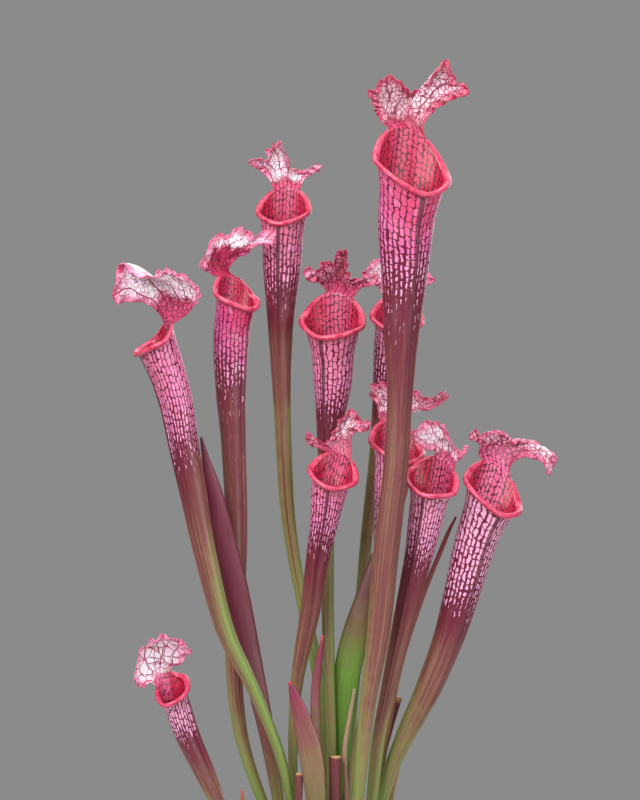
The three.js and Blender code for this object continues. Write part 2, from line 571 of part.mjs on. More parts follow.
// The hole that a leaf's foot stands in: its own lower end, grown by the gap and carried a little deeper
function footHole(leaf) {
  let to = HOLE_STEP;
  while (spineAt(leaf.spine, leaf.faces, to).middle.z < HOLE_TOP) to += HOLE_STEP;
  const hole = leafGeometry(leaf, { grow: HOLE_GAP, rows: 2, sides: HOLE_SIDES, to });
  hole.translate(0, 0, -HOLE_GAP);
  return toSolid(hole);
}

// Knobbly arms of the rhizome, joined
function rhizomeSolid(grow) {
  const arms = RHIZOME_ARMS.map((spine, arm) => {
    const skin = new Skin();
    const rings = Array.from({ length: RHIZOME_ROWS }, (_, i) => {
      const s = i / (RHIZOME_ROWS - 1);
      const { middle, half, up } = spineAt(spine, 0, s);
      middle.addScaledVector(up, grow * (2 * s - 1));
      const across = vec(0, 0, 1).cross(up).normalize();
      const high = up.clone().cross(across);
      return Array.from({ length: RHIZOME_SIDES }, (_, j) => {
        const angle = (2 * Math.PI * j) / RHIZOME_SIDES;
        const turn = RHIZOME_KNOBS.count * angle + RHIZOME_KNOBS.turnPerRow * i + arm;
        const knob = 1 + RHIZOME_KNOBS.height * Math.sin(turn);
        return skin.add(middle.clone()
          .addScaledVector(across, (half * knob + grow) * Math.cos(angle))
          .addScaledVector(high, (half * knob + grow) * Math.sin(angle)));
      });
    });
    for (let i = 1; i < rings.length; i++) skin.strip(rings[i - 1], rings[i], true);
    const foot = spineAt(spine, 0, 0);
    const tip = spineAt(spine, 0, 1);
    skin.fan(foot.middle.addScaledVector(foot.up, -grow), rings[0], true);
    skin.fan(tip.middle.addScaledVector(tip.up, grow), rings.at(-1), false);
    return toSolid(skin.geometry());
  });
  return arms.reduce((joined, arm) => joined.add(arm));
}

// Root ball: flat below, slightly tapered, with an uneven side and a low mound on top
function rootBallSolid() {
  const skin = new Skin();
  const waves = (roughness, angle, ring) => roughness.reduce(
    (sum, [height, count, turn]) => sum + height * Math.sin(count * angle + turn * ring), 0);
  const rings = BALL_PROFILE.map(([out, high], i) => {
    const onSide = high > 0 && high < 1;
    return Array.from({ length: BALL_SIDES }, (_, j) => {
      const angle = (2 * Math.PI * j) / BALL_SIDES;
      const radius = THREE.MathUtils.lerp(BALL_FOOT_RADIUS, BALL_TOP_RADIUS, high) * out
        + (onSide ? waves(BALL_ROUGHNESS, angle, i) : 0);
      const mound = high === 1 ? BALL_MOUND * (1 - out * out) + waves(TOP_ROUGHNESS, angle, i) : 0;
      return skin.add(vec(radius * Math.cos(angle), radius * Math.sin(angle), BALL_HEIGHT * high + mound));
    });
  });
  for (let i = 1; i < rings.length; i++) skin.strip(rings[i - 1], rings[i], true);
  skin.fan(vec(0, 0, 0), rings[0], true);
  skin.fan(vec(0, 0, BALL_HEIGHT + BALL_MOUND), rings.at(-1), false);
  return toSolid(skin.geometry());
}

const plant = new THREE.Group();

function addPiece(name, geometry, { colour, roughness }) {
  const material = new THREE.MeshStandardMaterial({ color: colour, roughness, metalness: 0 });
  const mesh = new THREE.Mesh(geometry, material);
  mesh.name = name;
  plant.add(mesh);
}

const allHoles = [...Object.values(PITCHERS), ...Object.values(SOLID_LEAVES)]
  .map(footHole)
  .reduce((joined, hole) => joined.add(hole));
const largest = (solid) => solid.decompose().sort((a, b) => b.volume() - a.volume())[0];
const rootBall = rootBallSolid().subtract(rhizomeSolid(HOLE_GAP)).subtract(allHoles);
const rhizome = rhizomeSolid(0).subtract(allHoles);

addPiece('root_ball', fromSolid(largest(rootBall)), PEAT);
addPiece('rhizome', fromSolid(largest(rhizome)), WOOD);
for (const [name, pitcher] of Object.entries(PITCHERS)) {
  addPiece(name, pitcherGeometry(pitcher), PITCHER);
}
for (const [name, leaf] of Object.entries(SOLID_LEAVES)) {
  addPiece(name, leafGeometry(leaf), { colour: leaf.colour, roughness: SOLID_ROUGHNESS });
}

export default plant;
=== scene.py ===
"""A clump of pink pitcher plant on its own root ball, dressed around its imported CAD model."""
import math

import bpy
import numpy as np
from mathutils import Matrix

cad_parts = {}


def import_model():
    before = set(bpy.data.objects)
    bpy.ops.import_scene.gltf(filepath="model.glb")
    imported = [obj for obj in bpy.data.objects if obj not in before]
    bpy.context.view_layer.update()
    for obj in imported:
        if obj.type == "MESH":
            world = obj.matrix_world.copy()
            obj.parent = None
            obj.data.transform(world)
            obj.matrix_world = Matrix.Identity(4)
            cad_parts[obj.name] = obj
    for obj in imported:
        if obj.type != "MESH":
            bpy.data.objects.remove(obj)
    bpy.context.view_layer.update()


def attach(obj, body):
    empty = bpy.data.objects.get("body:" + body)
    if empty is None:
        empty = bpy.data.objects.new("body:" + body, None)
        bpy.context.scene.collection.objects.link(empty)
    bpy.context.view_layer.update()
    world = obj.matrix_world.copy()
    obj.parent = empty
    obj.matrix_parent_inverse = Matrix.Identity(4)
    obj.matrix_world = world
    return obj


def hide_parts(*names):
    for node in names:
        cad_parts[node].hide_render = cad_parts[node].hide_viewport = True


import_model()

# Lengths in the tables are millimetres; meshes are in metres
MM = 0.001
SEED = 23

# Root ball. BALL_PROFILE: [share of the radius, share of the height] from the middle of the foot to the
# middle of the top. BALL_WAVES: [height, count round the ball, turn from foot to top] of its rough side.
# CRUMBS: [height, size] of the lumps all over it.
BALL_HEIGHT = 104
BALL_TOP_RADIUS = 79
BALL_FOOT_RADIUS = 62
BALL_MOUND = 4
BALL_PROFILE = [
    [0.0, 0], [0.5, 0], [0.96, 0], [1, 0.04], [1, 0.25], [1, 0.5], [1, 0.75], [1, 0.93], [0.96, 1],
    [0.7, 1], [0.35, 1], [0.0, 1],
]
BALL_WAVES = [[1.2, 5, 9], [0.8, 9, -5]]
BALL_ROWS = 200
BALL_COLUMNS = 340
CRUMBS = [[1.3, 9], [0.8, 3.6], [0.45, 1.7]]
FOOT_STAYS_FLAT_TO = 0.06
MOUND_STARTS = 0.97

# Roots on the side of the ball: their ends are shares of its height, their drift and sway are radians
# round it. A root thins to ROOT_TIP of its width, and starts upright from ROOT_UPRIGHT of a step upwards.
ROOT_COUNT = 150
ROOT_STEPS = 26
ROOT_SIDES = 6
ROOT_ENDS = (0.04, 0.98)
ROOT_LEAST_DROP = 0.15
ROOT_LOWEST = 0.03
ROOT_DRIFT = 0.9
ROOT_DRIFT_BEND = 1.3
ROOT_SWAY = (0.02, 0.09)
ROOT_SWAY_TURN = (4, 12)
ROOT_LIFT = (0.2, 0.9)
ROOT_UPRIGHT = 0.9
ROOT_RADIUS = (0.35, 0.85)
ROOT_TIP = 0.4

# Perlite grains: two in three are in the side of the ball, the rest on its top. A grain is an octahedron
# with its corners moved out by a share and then shifted.
GRAIN_COUNT = 420
GRAIN_RADIUS = (0.8, 2.2)
GRAIN_HEIGHTS = (0.05, 0.97)
GRAIN_SINKS_TO = 0.995
GRAINS_REACH = 0.93
GRAIN_STRETCH = (0.7, 1.2)
GRAIN_SHIFT = 0.25
GRAIN_CORNERS = np.array([[0, 0, 1], [0, 0, -1], [1, 0, 0], [-1, 0, 0], [0, 1, 0], [0, -1, 0]], float)
GRAIN_FACES = np.array([
    [0, 2, 4], [0, 4, 3], [0, 3, 5], [0, 5, 2], [1, 4, 2], [1, 3, 4], [1, 5, 3], [1, 2, 5],
])

# Rhizome: the arms of the woody crown as [x, y, z, radius], with scars across them and knobs round them
RHIZOME_ARMS = [
    [[-34, 6, 99, 6], [-20, 4, 102, 9], [2, 1, 103, 11], [24, 1, 103, 11], [42, 0, 102, 9.5],
     [56, 6, 99, 6]],
    [[6, 2, 101, 8], [10, 16, 102, 9], [17, 30, 101, 7], [20, 38, 99, 4]],
    [[12, 0, 101, 9], [8, -14, 102, 9], [5, -26, 101, 7], [2, -34, 99, 4]],
    [[26, -4, 101, 9], [30, -18, 102, 8], [33, -29, 101, 6], [34, -35, 99, 3.5]],
]
RHIZOME_ROWS = 90
RHIZOME_COLUMNS = 40
SCAR_HEIGHT = 0.05
SCAR_TURN_PER_POINT = 6.5
KNOB_HEIGHT = 0.1
KNOB_COUNT = 3
KNOB_TURN = 8
ROUND_END_POWER = 8
LEAST_END = 0.02
FUSE_VOXEL = 0.9

# Pitchers: the same shape rules as the solids have. Angles go round the tube in degrees, from 0 at its
# keel to 180 at the middle of its neck; shares along it go from 0 at its foot to 1 at its mouth.
WALL = 1.1
NECK_HALF_ANGLE = 42
DEPTH_AT_FOOT = 0.72
DEPTH_AT_MOUTH = 0.9
DEPTH_GROWS = (0.2, 0.8)
FLARE_FROM = 0.92
FLARE_FADE = (110, 155)
FLARE_LOST_AT_NECK = 0.6
SLANT_FROM = 0.72
SPOUT = 0.4
SPOUT_BLUNTNESS = 0.25
NECK_FROM = 84
NECK_STARTS = 0.9
NECK_RISE = 0.42
NECK_WAIST = 0.12
WING_RISES = (0.1, 0.45)
WING_ENDS = (0.9, 1)
WING_HALF_ANGLE = 8
CAVITY_FROM_RADIUS = 6.5
LIP_PROFILE = [[0.7, -0.9], [1.8, -0.45], [1.75, 0.55], [0.8, 1.0]]
LIP_AT_NECK = 0.9
LIP_THINS_FROM = 96
RUFFLE_CENTRE = 0.2
RUFFLE_FAN = 1.4
RUFFLE_REACH = 0.55
RUFFLE_TOP_REACH = 1.1
RUFFLE_STARTS = (0.15, 0.5)

# How finely a pitcher is meshed: rows below and above MOUTH_PART up the tube
MOUTH_PART = 0.85
TUBE_ROWS = (55, 36)
THROAT_ROWS = (16, 30)
KEEL_ANGLES = [0, 1.3, 2.6, 4, 5.5, 7.2, 9.5, 12.5]
SIDE_COLUMNS = 23
LID_ROWS = 70
LID_COLUMNS = 84
LIP_ROWS = 12

# The lid's sheet: it thins within EDGE_THINS of its margin, is as thick as the wall at its foot, and its
# two upper corners are rounded by a share of the mouth's half-width
LID_THICKNESS = 0.9
LID_EDGE_THICKNESS = 0.5
EDGE_THINS = 4
FOOT_THINS_TO = 0.1
CORNER_RADIUS = 0.24

# Fine crimps in the lid's margin: how far in they reach, how far they swing across the sheet and in its
# plane, and how many there are in a radian of the fan for each millimetre of the mouth's half-width. They
# start further on by CRIMP_PHASE_TURN for a pitcher's own phase. Their shift and fade are waves: [amount,
# turn in a radian of the fan, turn for the phase].
CRIMP_REACH = 7
CRIMP_SWING = 2.2
CRIMP_SCALLOP = 1.9
CRIMPS_PER_WIDTH = 2.0
CRIMP_STARTS = (0.28, 0.6)
CRIMP_SHIFT = (1.7, 7, 2)
CRIMP_PHASE_TURN = 5
CRIMP_FADE = (0.3, 5.3, 3)
SCALLOP_TURN = 0.4
SCALLOP_DIP = 0.6
EARS_FROM = (0.55, 0.9)

# Net of veins: files of windows round the tube, and the height of a window at the foot of the net and at
# the mouth. Each pitcher's place in the net is apart from the others' in height and in depth. Zones are
# counted up a tube: 0 at its foot, 1 to 4 at its own four marks and MOUTH_ZONE at its mouth.
NET_FILES = 30
CELL_AT_NET_FOOT = 5
CELL_AT_MOUTH = 6.5
CELLS_APART = 17.3
DEPTHS_APART = 8.0
NET_STEPS = 400
MOUTH_ZONE = 5.0
FAR_FROM_EDGE = 60.0

# A pitcher's materials
ON_TUBE, IN_THROAT, ON_LIP, ON_LID_FACE, ON_LID_BACK = range(5)

# spine: [x, y, z, half-width]. faces, keel, tips, slant: angles in degrees as the solids have them. mouth:
# half its width. lip: radius. wing: height. belly: how far the lid bows. ruffle: height, count and phase of
# the waves of its margin. top: the lid's upper margin from its left to its right corner, from the middle of
# the mouth; left and right: its sides up to those corners. zones: shares up the tube where green turns to
# brown, brown to maroon, where the windows start and where the net is full. pale: share up the lid where
# its red turns pale, half the length of that change, then how pale the lid, its margin, its two ears and
# the windows of the tube are. lid_net: scale of the lid's net, where that isn't 1.
PITCHERS = {
    "pitcher_01": {
        "spine": [[31, -25, 96, 3.6], [39, -28, 184, 5.5], [47, -29, 237, 8], [52, -29, 290, 9],
            [59, -28, 352, 8.8], [62, -26, 400, 9], [63, -25, 440, 12], [65, -24, 480, 15.5],
            [66, -24, 520, 19.5], [70, -24, 560, 21]],
        "faces": 14, "keel": 12, "tips": 10, "slant": 41, "mouth": 24.5, "lip": 2.3, "wing": 2, "belly": 5,
        "ruffle": [1.6, 8, 0.4],
        "top": [[-32, 14, 57], [-25, 10, 56], [-21, 7, 62], [-14, 8, 65], [-6, 12, 61], [0, 19, 56],
            [9, 19, 57], [17, 12, 66], [24, 6, 75], [30, 9, 66], [33, 12, 60], [38, 13, 60], [43, 14, 52]],
        "left": [[-21, 16, 35], [-25, 17, 45]], "right": [[9, 17, 30], [17, 18, 42], [31, 16, 50]],
        "zones": [0.12, 0.4, 0.67, 0.86], "pale": [0.3, 0.14, 0.7, 0.3, 0.15, 0.1],
    },
    "pitcher_02": {
        "spine": [[11, 24, 96, 4], [7, 26, 194, 4.5], [-5, 28, 254, 4.2], [-12, 30, 291, 4.6],
            [-17, 32, 332, 5.3], [-20, 34, 400, 6.5], [-21, 36, 455, 9.5], [-20, 36, 500, 14],
            [-19, 36, 535, 14.5]],
        "faces": -8, "keel": -4, "tips": 0, "slant": 35, "mouth": 17, "lip": 1.9, "wing": 1.5, "belly": 4,
        "ruffle": [1.5, 8, 1.2],
        "top": [[-27, 10, 35], [-19, 8, 39], [-14, 12, 36], [-12, 9, 44], [-7, 6, 48], [-3, 4, 49],
            [1, 9, 43], [4, 13, 34], [10, 14, 30], [18, 11, 30], [24, 8, 34], [28, 7, 30]],
        "left": [[-11, 13, 24], [-19, 13, 31]], "right": [[15, 13, 24], [21, 12, 28]],
        "zones": [0.6, 0.7, 0.76, 0.87], "pale": [0.2, 0.07, 1, 1, 1, 0.4],
    },
    "pitcher_03": {
        "spine": [[-25, 12, 96, 3.6], [-44, 14, 146, 4.6], [-52, 17, 185, 5.8], [-54, 18, 235, 6.8],
            [-52, 20, 300, 8], [-54, 20, 365, 9], [-56, 20, 405, 11], [-56, 20, 442, 13],
            [-53, 20, 473, 13]],
        "faces": 34, "keel": 26, "tips": 0, "slant": 33, "mouth": 15, "lip": 2, "wing": 1.6, "belly": 5,
        "ruffle": [1.5, 8, 0],
        "top": [[-25, -2, 21], [-24, 0, 28], [-19, 2, 35], [-17, 4, 41], [-11, 4, 45], [-5, 2, 44],
            [1, -2, 49], [8, -7, 47], [12, -10, 42], [17, -12, 44], [24, -12, 46], [31, -14, 43]],
        "left": [[-17, 2, 16], [-20, 0, 19]],
        "right": [[-5, 8, 19], [1, 2, 27], [8, -4, 30], [15, -9, 36], [26, -12, 37]],
        "zones": [0.22, 0.4, 0.72, 0.85], "pale": [0.6, 0.06, 1, 1, 1, 0],
    },
    "pitcher_04": {
        "spine": [[-9, -10, 96, 3.6], [-20, -12, 150, 5], [-39, -14, 199, 5.8], [-58, -16, 240, 7.4],
            [-72, -18, 294, 8.6], [-80, -18, 335, 10], [-87, -18, 370, 11], [-93, -18, 402, 12.4],
            [-105, -18, 440, 14.5]],
        "faces": -76, "keel": 0, "tips": 30, "slant": 15, "mouth": 17.5, "lip": 2, "wing": 1.6, "belly": 5,
        "ruffle": [1.5, 8, 2],
        "top": [[-30, 12, 25], [-32, 8, 38], [-28, 3, 55], [-21, 0, 49], [-15, -3, 47], [-6, -7, 45],
            [1, -10, 49], [8, -12, 48], [13, -12, 47], [19, -14, 48]],
        "left": [[0, 12, 20], [-9, 14, 26], [-20, 15, 29]],
        "right": [[21, -8, 20], [28, -14, 30], [26, -15, 40]],
        "zones": [0.4, 0.53, 0.66, 0.8], "pale": [0.4, 0.07, 1, 1, 1, 0.4],
    },
    "pitcher_05": {
        "spine": [[-11, 8, 96, 3.4], [-12, 5, 158, 3.4], [-9, 1, 204, 4.6], [0, -6, 252, 7],
            [5, -10, 288, 8], [10, -13, 316, 10], [13, -14, 336, 12.5], [16, -14, 348, 13]],
        "faces": -12, "keel": 10, "tips": 8, "slant": 35, "mouth": 15, "lip": 1.9, "wing": 1.5, "belly": 2,
        "ruffle": [1.5, 8, 0.8],
        "top": [[-20, 3, 27], [-17, 2, 30], [-12, 6, 26], [-6, 11, 22], [-1, 12, 25], [2, 12, 31],
            [6, 11, 38], [10, 9, 43], [14, 8, 45], [18, 7, 41], [20, 7, 36], [24, 6, 38], [28, 6, 33]],
        "left": [[-12, 8, 19], [-17, 5, 21]],
        "right": [[13, 10, 21], [13, 11, 26], [16, 10, 30], [22, 8, 30]],
        "zones": [0.3, 0.42, 0.56, 0.7], "pale": [0.3, 0.1, 0.75, 0.5, 0.7, 0.4],
    },
    "pitcher_06": {
        "spine": [[15, 9, 96, 3.5], [15, 10, 158, 3.6], [13, 12, 223, 4.2], [12, 14, 287, 5],
            [12, 16, 345, 6.2], [14, 16, 385, 9.8], [16, 16, 415, 14], [16, 16, 455, 16.5]],
        "faces": -18, "keel": -10, "tips": 14, "slant": 34, "mouth": 20.5, "lip": 2.1, "wing": 1.8,
        "belly": 4, "ruffle": [1.5, 8, 2.2],
        "top": [[-22, 8, 34], [-18, 6, 40], [-12, 9, 37], [-9, 8, 42], [-4, 8, 44], [0, 10, 42], [2, 8, 46],
            [6, 4, 52], [10, 6, 49], [9, 9, 41], [10, 11, 35], [15, 12, 31], [21, 12, 31], [27, 10, 34],
            [33, 8, 34], [34, 8, 29]],
        "left": [[-5, 16, 23], [-10, 13, 28], [-16, 10, 29]],
        "right": [[17, 13, 21], [20, 12, 25], [27, 11, 26]],
        "zones": [0.5, 0.58, 0.68, 0.8], "pale": [0.5, 0.2, 0.3, 0.85, 0.9, 0.45],
    },
    "pitcher_07": {
        "spine": [[21, 29, 96, 3.6], [29, 34, 172, 4], [37, 41, 264, 4.2], [41, 44, 307, 4.4],
            [48, 46, 364, 5.4], [53, 45, 400, 8.5], [59, 44, 436, 13.5], [62, 43, 458, 14.5]],
        "faces": 0, "keel": 4, "tips": 0, "slant": 33, "mouth": 16.5, "lip": 1.9, "wing": 1.4, "belly": 4,
        "ruffle": [1.5, 8, 0.2],
        "top": [[-26, 10, 30], [-20, 8, 39], [-12, 10, 44], [0, 15, 42], [12, 10, 40], [23, 8, 33],
            [30, 10, 28]],
        "left": [[-11, 14, 20], [-14, 14, 25]], "right": [[11, 14, 18], [16, 14, 22]],
        "zones": [0.58, 0.64, 0.69, 0.8], "pale": [0.25, 0.1, 1, 1, 1, 0.8],
    },
    "pitcher_08": {
        "spine": [[20, -4, 96, 3.5], [37, 0, 176, 3.7], [46, 4, 225, 4.2], [49, 9, 272, 5.2],
            [52, 14, 303, 7.2], [57, 18, 336, 12], [61, 18, 367, 15]],
        "faces": 14, "keel": 8, "tips": 8, "slant": 33, "mouth": 17.5, "lip": 2, "wing": 1.4, "belly": 2,
        "ruffle": [1.5, 8, 1.6],
        "top": [[-20, 8, 37], [-16, 6, 44], [-5, 10, 45], [5, 14, 42], [15, 12, 39], [26, 6, 33],
            [33, 3, 39], [38, 2, 36]],
        "left": [[-12, 11, 20], [-13, 13, 28]], "right": [[9, 13, 19], [14, 14, 25], [24, 10, 26]],
        "zones": [0.12, 0.2, 0.5, 0.66], "pale": [0.35, 0.12, 0.75, 0.7, 0.9, 0.6],
    },
    "pitcher_09": {
        "spine": [[41, -8, 96, 4], [47, -8, 158, 5], [54, -7, 195, 5.6], [64, -6, 240, 7.6],
            [75, -6, 288, 10], [80, -7, 314, 12.3], [85, -9, 343, 14.5]],
        "faces": -40, "keel": 20, "tips": 38, "slant": 30, "mouth": 17.5, "lip": 1.9, "wing": 1.8,
        "belly": 4, "ruffle": [1.4, 8, 0.9],
        "top": [[-12, -3, 29], [-12, -3, 36], [-4, 0, 42], [4, 4, 41], [9, 7, 36], [12, 8, 31], [15, 8, 26],
            [18, 8, 22], [23, 6, 22], [26, 3, 27]],
        "left": [[2, 12, 17], [2, 9, 22], [-4, 3, 22]], "right": [[17, 3, 14], [18, 4, 17], [22, 4, 20]],
        "zones": [0.22, 0.42, 0.6, 0.72], "pale": [0.3, 0.07, 0.95, 0.9, 1, 0.75],
    },
    "pitcher_10": {
        "spine": [[45, 6, 96, 3.6], [55, 6, 135, 5], [66, 6, 162, 6.6], [82, 6, 195, 9], [97, 6, 232, 10.8],
            [107, 6, 266, 12.8], [116, 6, 300, 14.8], [128, 6, 334, 17.5]],
        "faces": 8, "keel": 20, "tips": 20, "slant": 33, "mouth": 20, "lip": 2.2, "wing": 2, "belly": 4,
        "ruffle": [1.4, 8, 0.5],
        "top": [[-17, 4, 41], [-12, 5, 46], [-8, 9, 40], [-5, 9, 43], [1, 13, 44], [7, 14, 44],
            [13, 14, 40], [16, 13, 36], [22, 13, 37], [29, 12, 36], [36, 7, 33], [39, 6, 28], [44, 5, 28],
            [45, 4, 22], [40, 3, 11]],
        "left": [[-9, 11, 28], [-8, 9, 35], [-15, 5, 38]],
        "right": [[14, 13, 20], [21, 10, 25], [28, 5, 25], [35, 1, 22], [38, -1, 16]],
        "zones": [0.38, 0.51, 0.59, 0.72], "pale": [0.42, 0.16, 0.75, 0.8, 0.9, 1],
    },
    "pitcher_11": {
        "spine": [[-54, -8, 96, 4], [-65, -9, 121, 6], [-75, -10, 143, 7.2], [-87, -12, 170, 8.4],
            [-96, -14, 198, 9.4]],
        "faces": 50, "keel": 25, "tips": -56, "slant": 36, "mouth": 11.6, "lip": 1.6, "wing": 2.2,
        "belly": 5, "ruffle": [1.1, 8, 0.6],
        "top": [[-25, -6, 10], [-25, -7, 18], [-22, -8, 26], [-16, -9, 33], [-10, -10, 37], [-3, -10, 39],
            [5, -12, 37], [10, -12, 34], [14, -12, 30], [14, -9, 26]],
        "left": [[-14, -3, 6], [-20, -4, 3], [-24, -5, 6]],
        "right": [[-3, 8, 12], [1, 7, 17], [6, 4, 17], [7, 1, 20], [9, -3, 25]],
        "zones": [0.18, 0.42, 0.6, 0.78], "pale": [0.12, 0.05, 1, 1, 1, 0.9], "lid_net": 0.55,
    },
}

# Flat and solid leaves: least is the least half-thickness, and slot the record's material slot
SOLID_LEAVES = {
    "sword_leaf_left": {
        "spine": [[-18, -1, 96, 3.4], [-24, 2, 130, 4.4], [-30, 4, 165, 5.6], [-42, 8, 220, 7.6],
            [-52, 6, 268, 8.6], [-60, 3, 300, 8.4], [-67, -2, 335, 5.8], [-73, -4, 360, 2.6],
            [-76, -5, 374, 0.9]],
        "faces": 10, "least": 0.9, "slot": "red_sword_leaf",
    },
    "sword_leaf_middle": {
        "spine": [[19, 17, 96, 4.2], [20, 17, 130, 5.8], [22, 17, 165, 7.4], [25, 17, 200, 9.4],
            [31, 17, 230, 9.6], [38, 18, 258, 7], [43, 20, 280, 3.6], [45, 22, 292, 1]],
        "faces": -8, "least": 0.9, "slot": "green_sword_leaf",
    },
    "shoot_front": {
        "spine": [[4, -24, 96, 4], [4, -25, 128, 7.2], [0, -26, 158, 8.2], [-6, -27, 182, 6],
            [-11, -27, 197, 3.4], [-14, -28, 206, 0.9]],
        "faces": -8, "least": 1.5, "slot": "closed_shoot",
    },
    "shoot_back": {
        "spine": [[6, -8, 96, 3], [5, -9, 140, 3.4], [4, -9, 175, 3.6], [4, -9, 200, 3.4],
            [7, -9, 222, 2.2], [9, -9, 236, 0.8]],
        "faces": 20, "least": 1.2, "slot": "closed_shoot",
    },
    "cut_stub_middle": {
        "spine": [[17, -15, 96, 3.6], [17.5, -15.5, 115, 3.9], [17.5, -16, 138, 4.1],
            [17.5, -16.5, 153, 4.2]],
        "faces": 0, "least": 2.4, "slot": "cut_stub",
    },
    "cut_stub_right": {
        "spine": [[40, 20, 96, 3], [46, 20, 125, 3.2], [53, 20, 158, 3.3], [62, 20, 190, 3.4]],
        "faces": 15, "least": 1.6, "slot": "cut_stub",
    },
    "cut_stub_left": {
        "spine": [[-8, -22, 96, 2.2], [-8, -22, 115, 2.4], [-7, -22, 142, 2.5]],
        "faces": 0, "least": 1.5, "slot": "cut_stub",
    },
    "dry_strip": {
        "spine": [[26, -11, 96, 1.6], [25, -10, 130, 1.7], [24, -10, 155, 1.6], [27, -10, 176, 1.4],
            [31, -10, 199, 1]],
        "faces": -20, "least": 0.5, "slot": "dry_leaf",
    },
    "thin_stalk": {
        "spine": [[43, 14, 96, 2], [52, 14, 150, 2], [63, 13, 210, 1.9], [78, 12, 258, 1.8],
            [93, 12, 296, 1.6], [98, 12, 308, 1.3], [103, 12, 318, 0.7]],
        "faces": 0, "least": 0.7, "slot": "thin_stalk",
    },
    "young_tip_right": {
        "spine": [[54, 17, 96, 2], [58, 17, 125, 2.1], [64, 17, 148, 1.8], [71, 17, 164, 0.8]],
        "faces": 0, "least": 0.8, "slot": "young_tip",
    },
    "young_tip_left": {
        "spine": [[-47, 8, 96, 1.8], [-47, 8, 110, 1.8], [-47.5, 8, 120, 1.3], [-48, 8, 126, 0.7]],
        "faces": 0, "least": 0.7, "slot": "young_tip",
    },
}
LEAF_ROWS = 90
LEAF_COLUMNS = 24
LEAF_FLATNESS = 0.3

# Stage, lights as [place, target, size, power, colour] in metres and watts, and camera
FLOOR_RADIUS = 0.62
FLOOR_SIDES = 180
BACKGROUND = (0.98, 0.97, 0.97, 1)
BACKGROUND_STRENGTH = 0.265
LIGHTS = {
    "key": [(-0.9, -1.5, 1.5), (0, 0, 0.35), (1.4, 1.4), 46, (1.0, 0.99, 1.0)],
    "fill": [(1.3, -1.3, 0.8), (0, 0, 0.35), (1.4, 1.8), 22, (0.96, 0.98, 1.0)],
    "top": [(0.1, 0.1, 1.9), (0, 0, 0.3), (1.4, 1.4), 14, (0.97, 0.98, 1.0)],
    "back": [(0.5, 1.7, 1.1), (0, 0, 0.35), (1.6, 1.6), 14, (0.97, 0.98, 1.0)],
}
CAMERA_PLACE = (0.007, -1.8, 0.4)
CAMERA_LENS = 115.7
CAMERA_SENSOR_HEIGHT = 36

# Colours, in sRGB
GREEN = (118, 146, 66)
OLIVE = (132, 124, 74)
BROWN = (118, 64, 60)
MAROON = (112, 38, 52)
STREAK = (92, 34, 44)
PALE_LINE = (164, 136, 92)
STRIPE = (150, 112, 84)
KEEL_LOW = (146, 84, 76)
KEEL_HIGH = (88, 26, 42)
RIB = (138, 104, 76)
VEIN = (106, 12, 48)
VEIN_ON_WHITE = (152, 20, 74)
VEIN_IN_MARGIN = (176, 16, 70)
VEIN_IN_THROAT = (98, 8, 36)
WINDOW_LOW = (244, 196, 222)
WINDOW_MIDDLE = (228, 110, 172)
WINDOW_HIGH = (216, 48, 100)
WINDOW_PALE = (242, 190, 220)
WINDOW_BRIGHT = (248, 176, 218)
WINDOW_LINE = (214, 40, 96)
CRIMSON = (190, 18, 64)
THROAT = (192, 20, 64)
# Painted shade: the throat's colour further down inside the tube, where it lies in shade
THROAT_PAINTED_SHADE = (112, 16, 46)
THROAT_BRIGHT = (226, 68, 110)
THROAT_PALE = (236, 116, 164)
LIP = (194, 40, 78)
LIP_PALE = (224, 82, 116)
LIP_SPECK = (190, 40, 76)
LID_WHITE = (255, 244, 251)
LID_BLUSH = (251, 198, 224)
LID_PINK = (240, 112, 166)
LID_RIM = (196, 20, 74)
LEAF_SPOT = (64, 34, 30)
PEAT_STOPS = [(0.3, (26, 18, 14)), (0.5, (58, 42, 32)), (0.7, (94, 70, 50))]
PEAT_FIBRE = (128, 96, 66)
ROOT_COLOURS = (150, 120, 84), (82, 56, 38)
PERLITE_COLOURS = (226, 222, 210), (186, 180, 166)
BARK_COLOURS = (112, 78, 56), (58, 36, 28)
FLOOR_COLOURS = (190, 190, 192), (185, 185, 188)

# Looks of the flat and solid leaves: colours from foot to tip, then colour and amount of the lines along
# them, and roughness
LEAF_LOOKS = {
    "red_sword_leaf": (
        [(0.0, (120, 130, 60)), (0.2, (112, 70, 56)), (0.4, (108, 34, 52)), (0.85, (124, 40, 64)),
         (1.0, (96, 26, 44))],
        (70, 16, 34), 0.5, 0.42),
    "green_sword_leaf": (
        [(0.0, (92, 142, 44)), (0.46, (112, 152, 54)), (0.62, (122, 100, 62)), (0.76, (116, 58, 60)),
         (1.0, (112, 48, 58))],
        (70, 60, 36), 0.35, 0.42),
    "closed_shoot": (
        [(0.0, (122, 120, 70)), (0.35, (138, 108, 80)), (0.55, (136, 74, 76)), (0.78, (138, 46, 76)),
         (0.94, (146, 48, 78)), (1.0, (206, 62, 80))],
        (96, 34, 50), 0.55, 0.42),
    "cut_stub": (
        [(0.0, (110, 96, 60)), (0.3, (118, 62, 58)), (0.95, (120, 52, 62)), (0.975, (184, 132, 92)),
         (1.0, (206, 162, 112))],
        (66, 28, 30), 0.5, 0.6),
    "dry_leaf": (
        [(0.0, (150, 96, 76)), (0.5, (172, 132, 116)), (1.0, (168, 142, 116))],
        (140, 100, 84), 0.5, 0.75),
    "thin_stalk": (
        [(0.0, (116, 120, 60)), (0.3, (140, 80, 64)), (1.0, (150, 60, 70))],
        (96, 36, 44), 0.4, 0.42),
    "young_tip": (
        [(0.0, (120, 140, 60)), (0.5, (176, 92, 66)), (1.0, (216, 108, 88))],
        (150, 60, 54), 0.35, 0.42),
}


# Numbers

def smoothstep(start, end, x):
    t = np.clip((np.asarray(x, float) - start) / (end - start), 0, 1)
    return t * t * (3 - 2 * t)


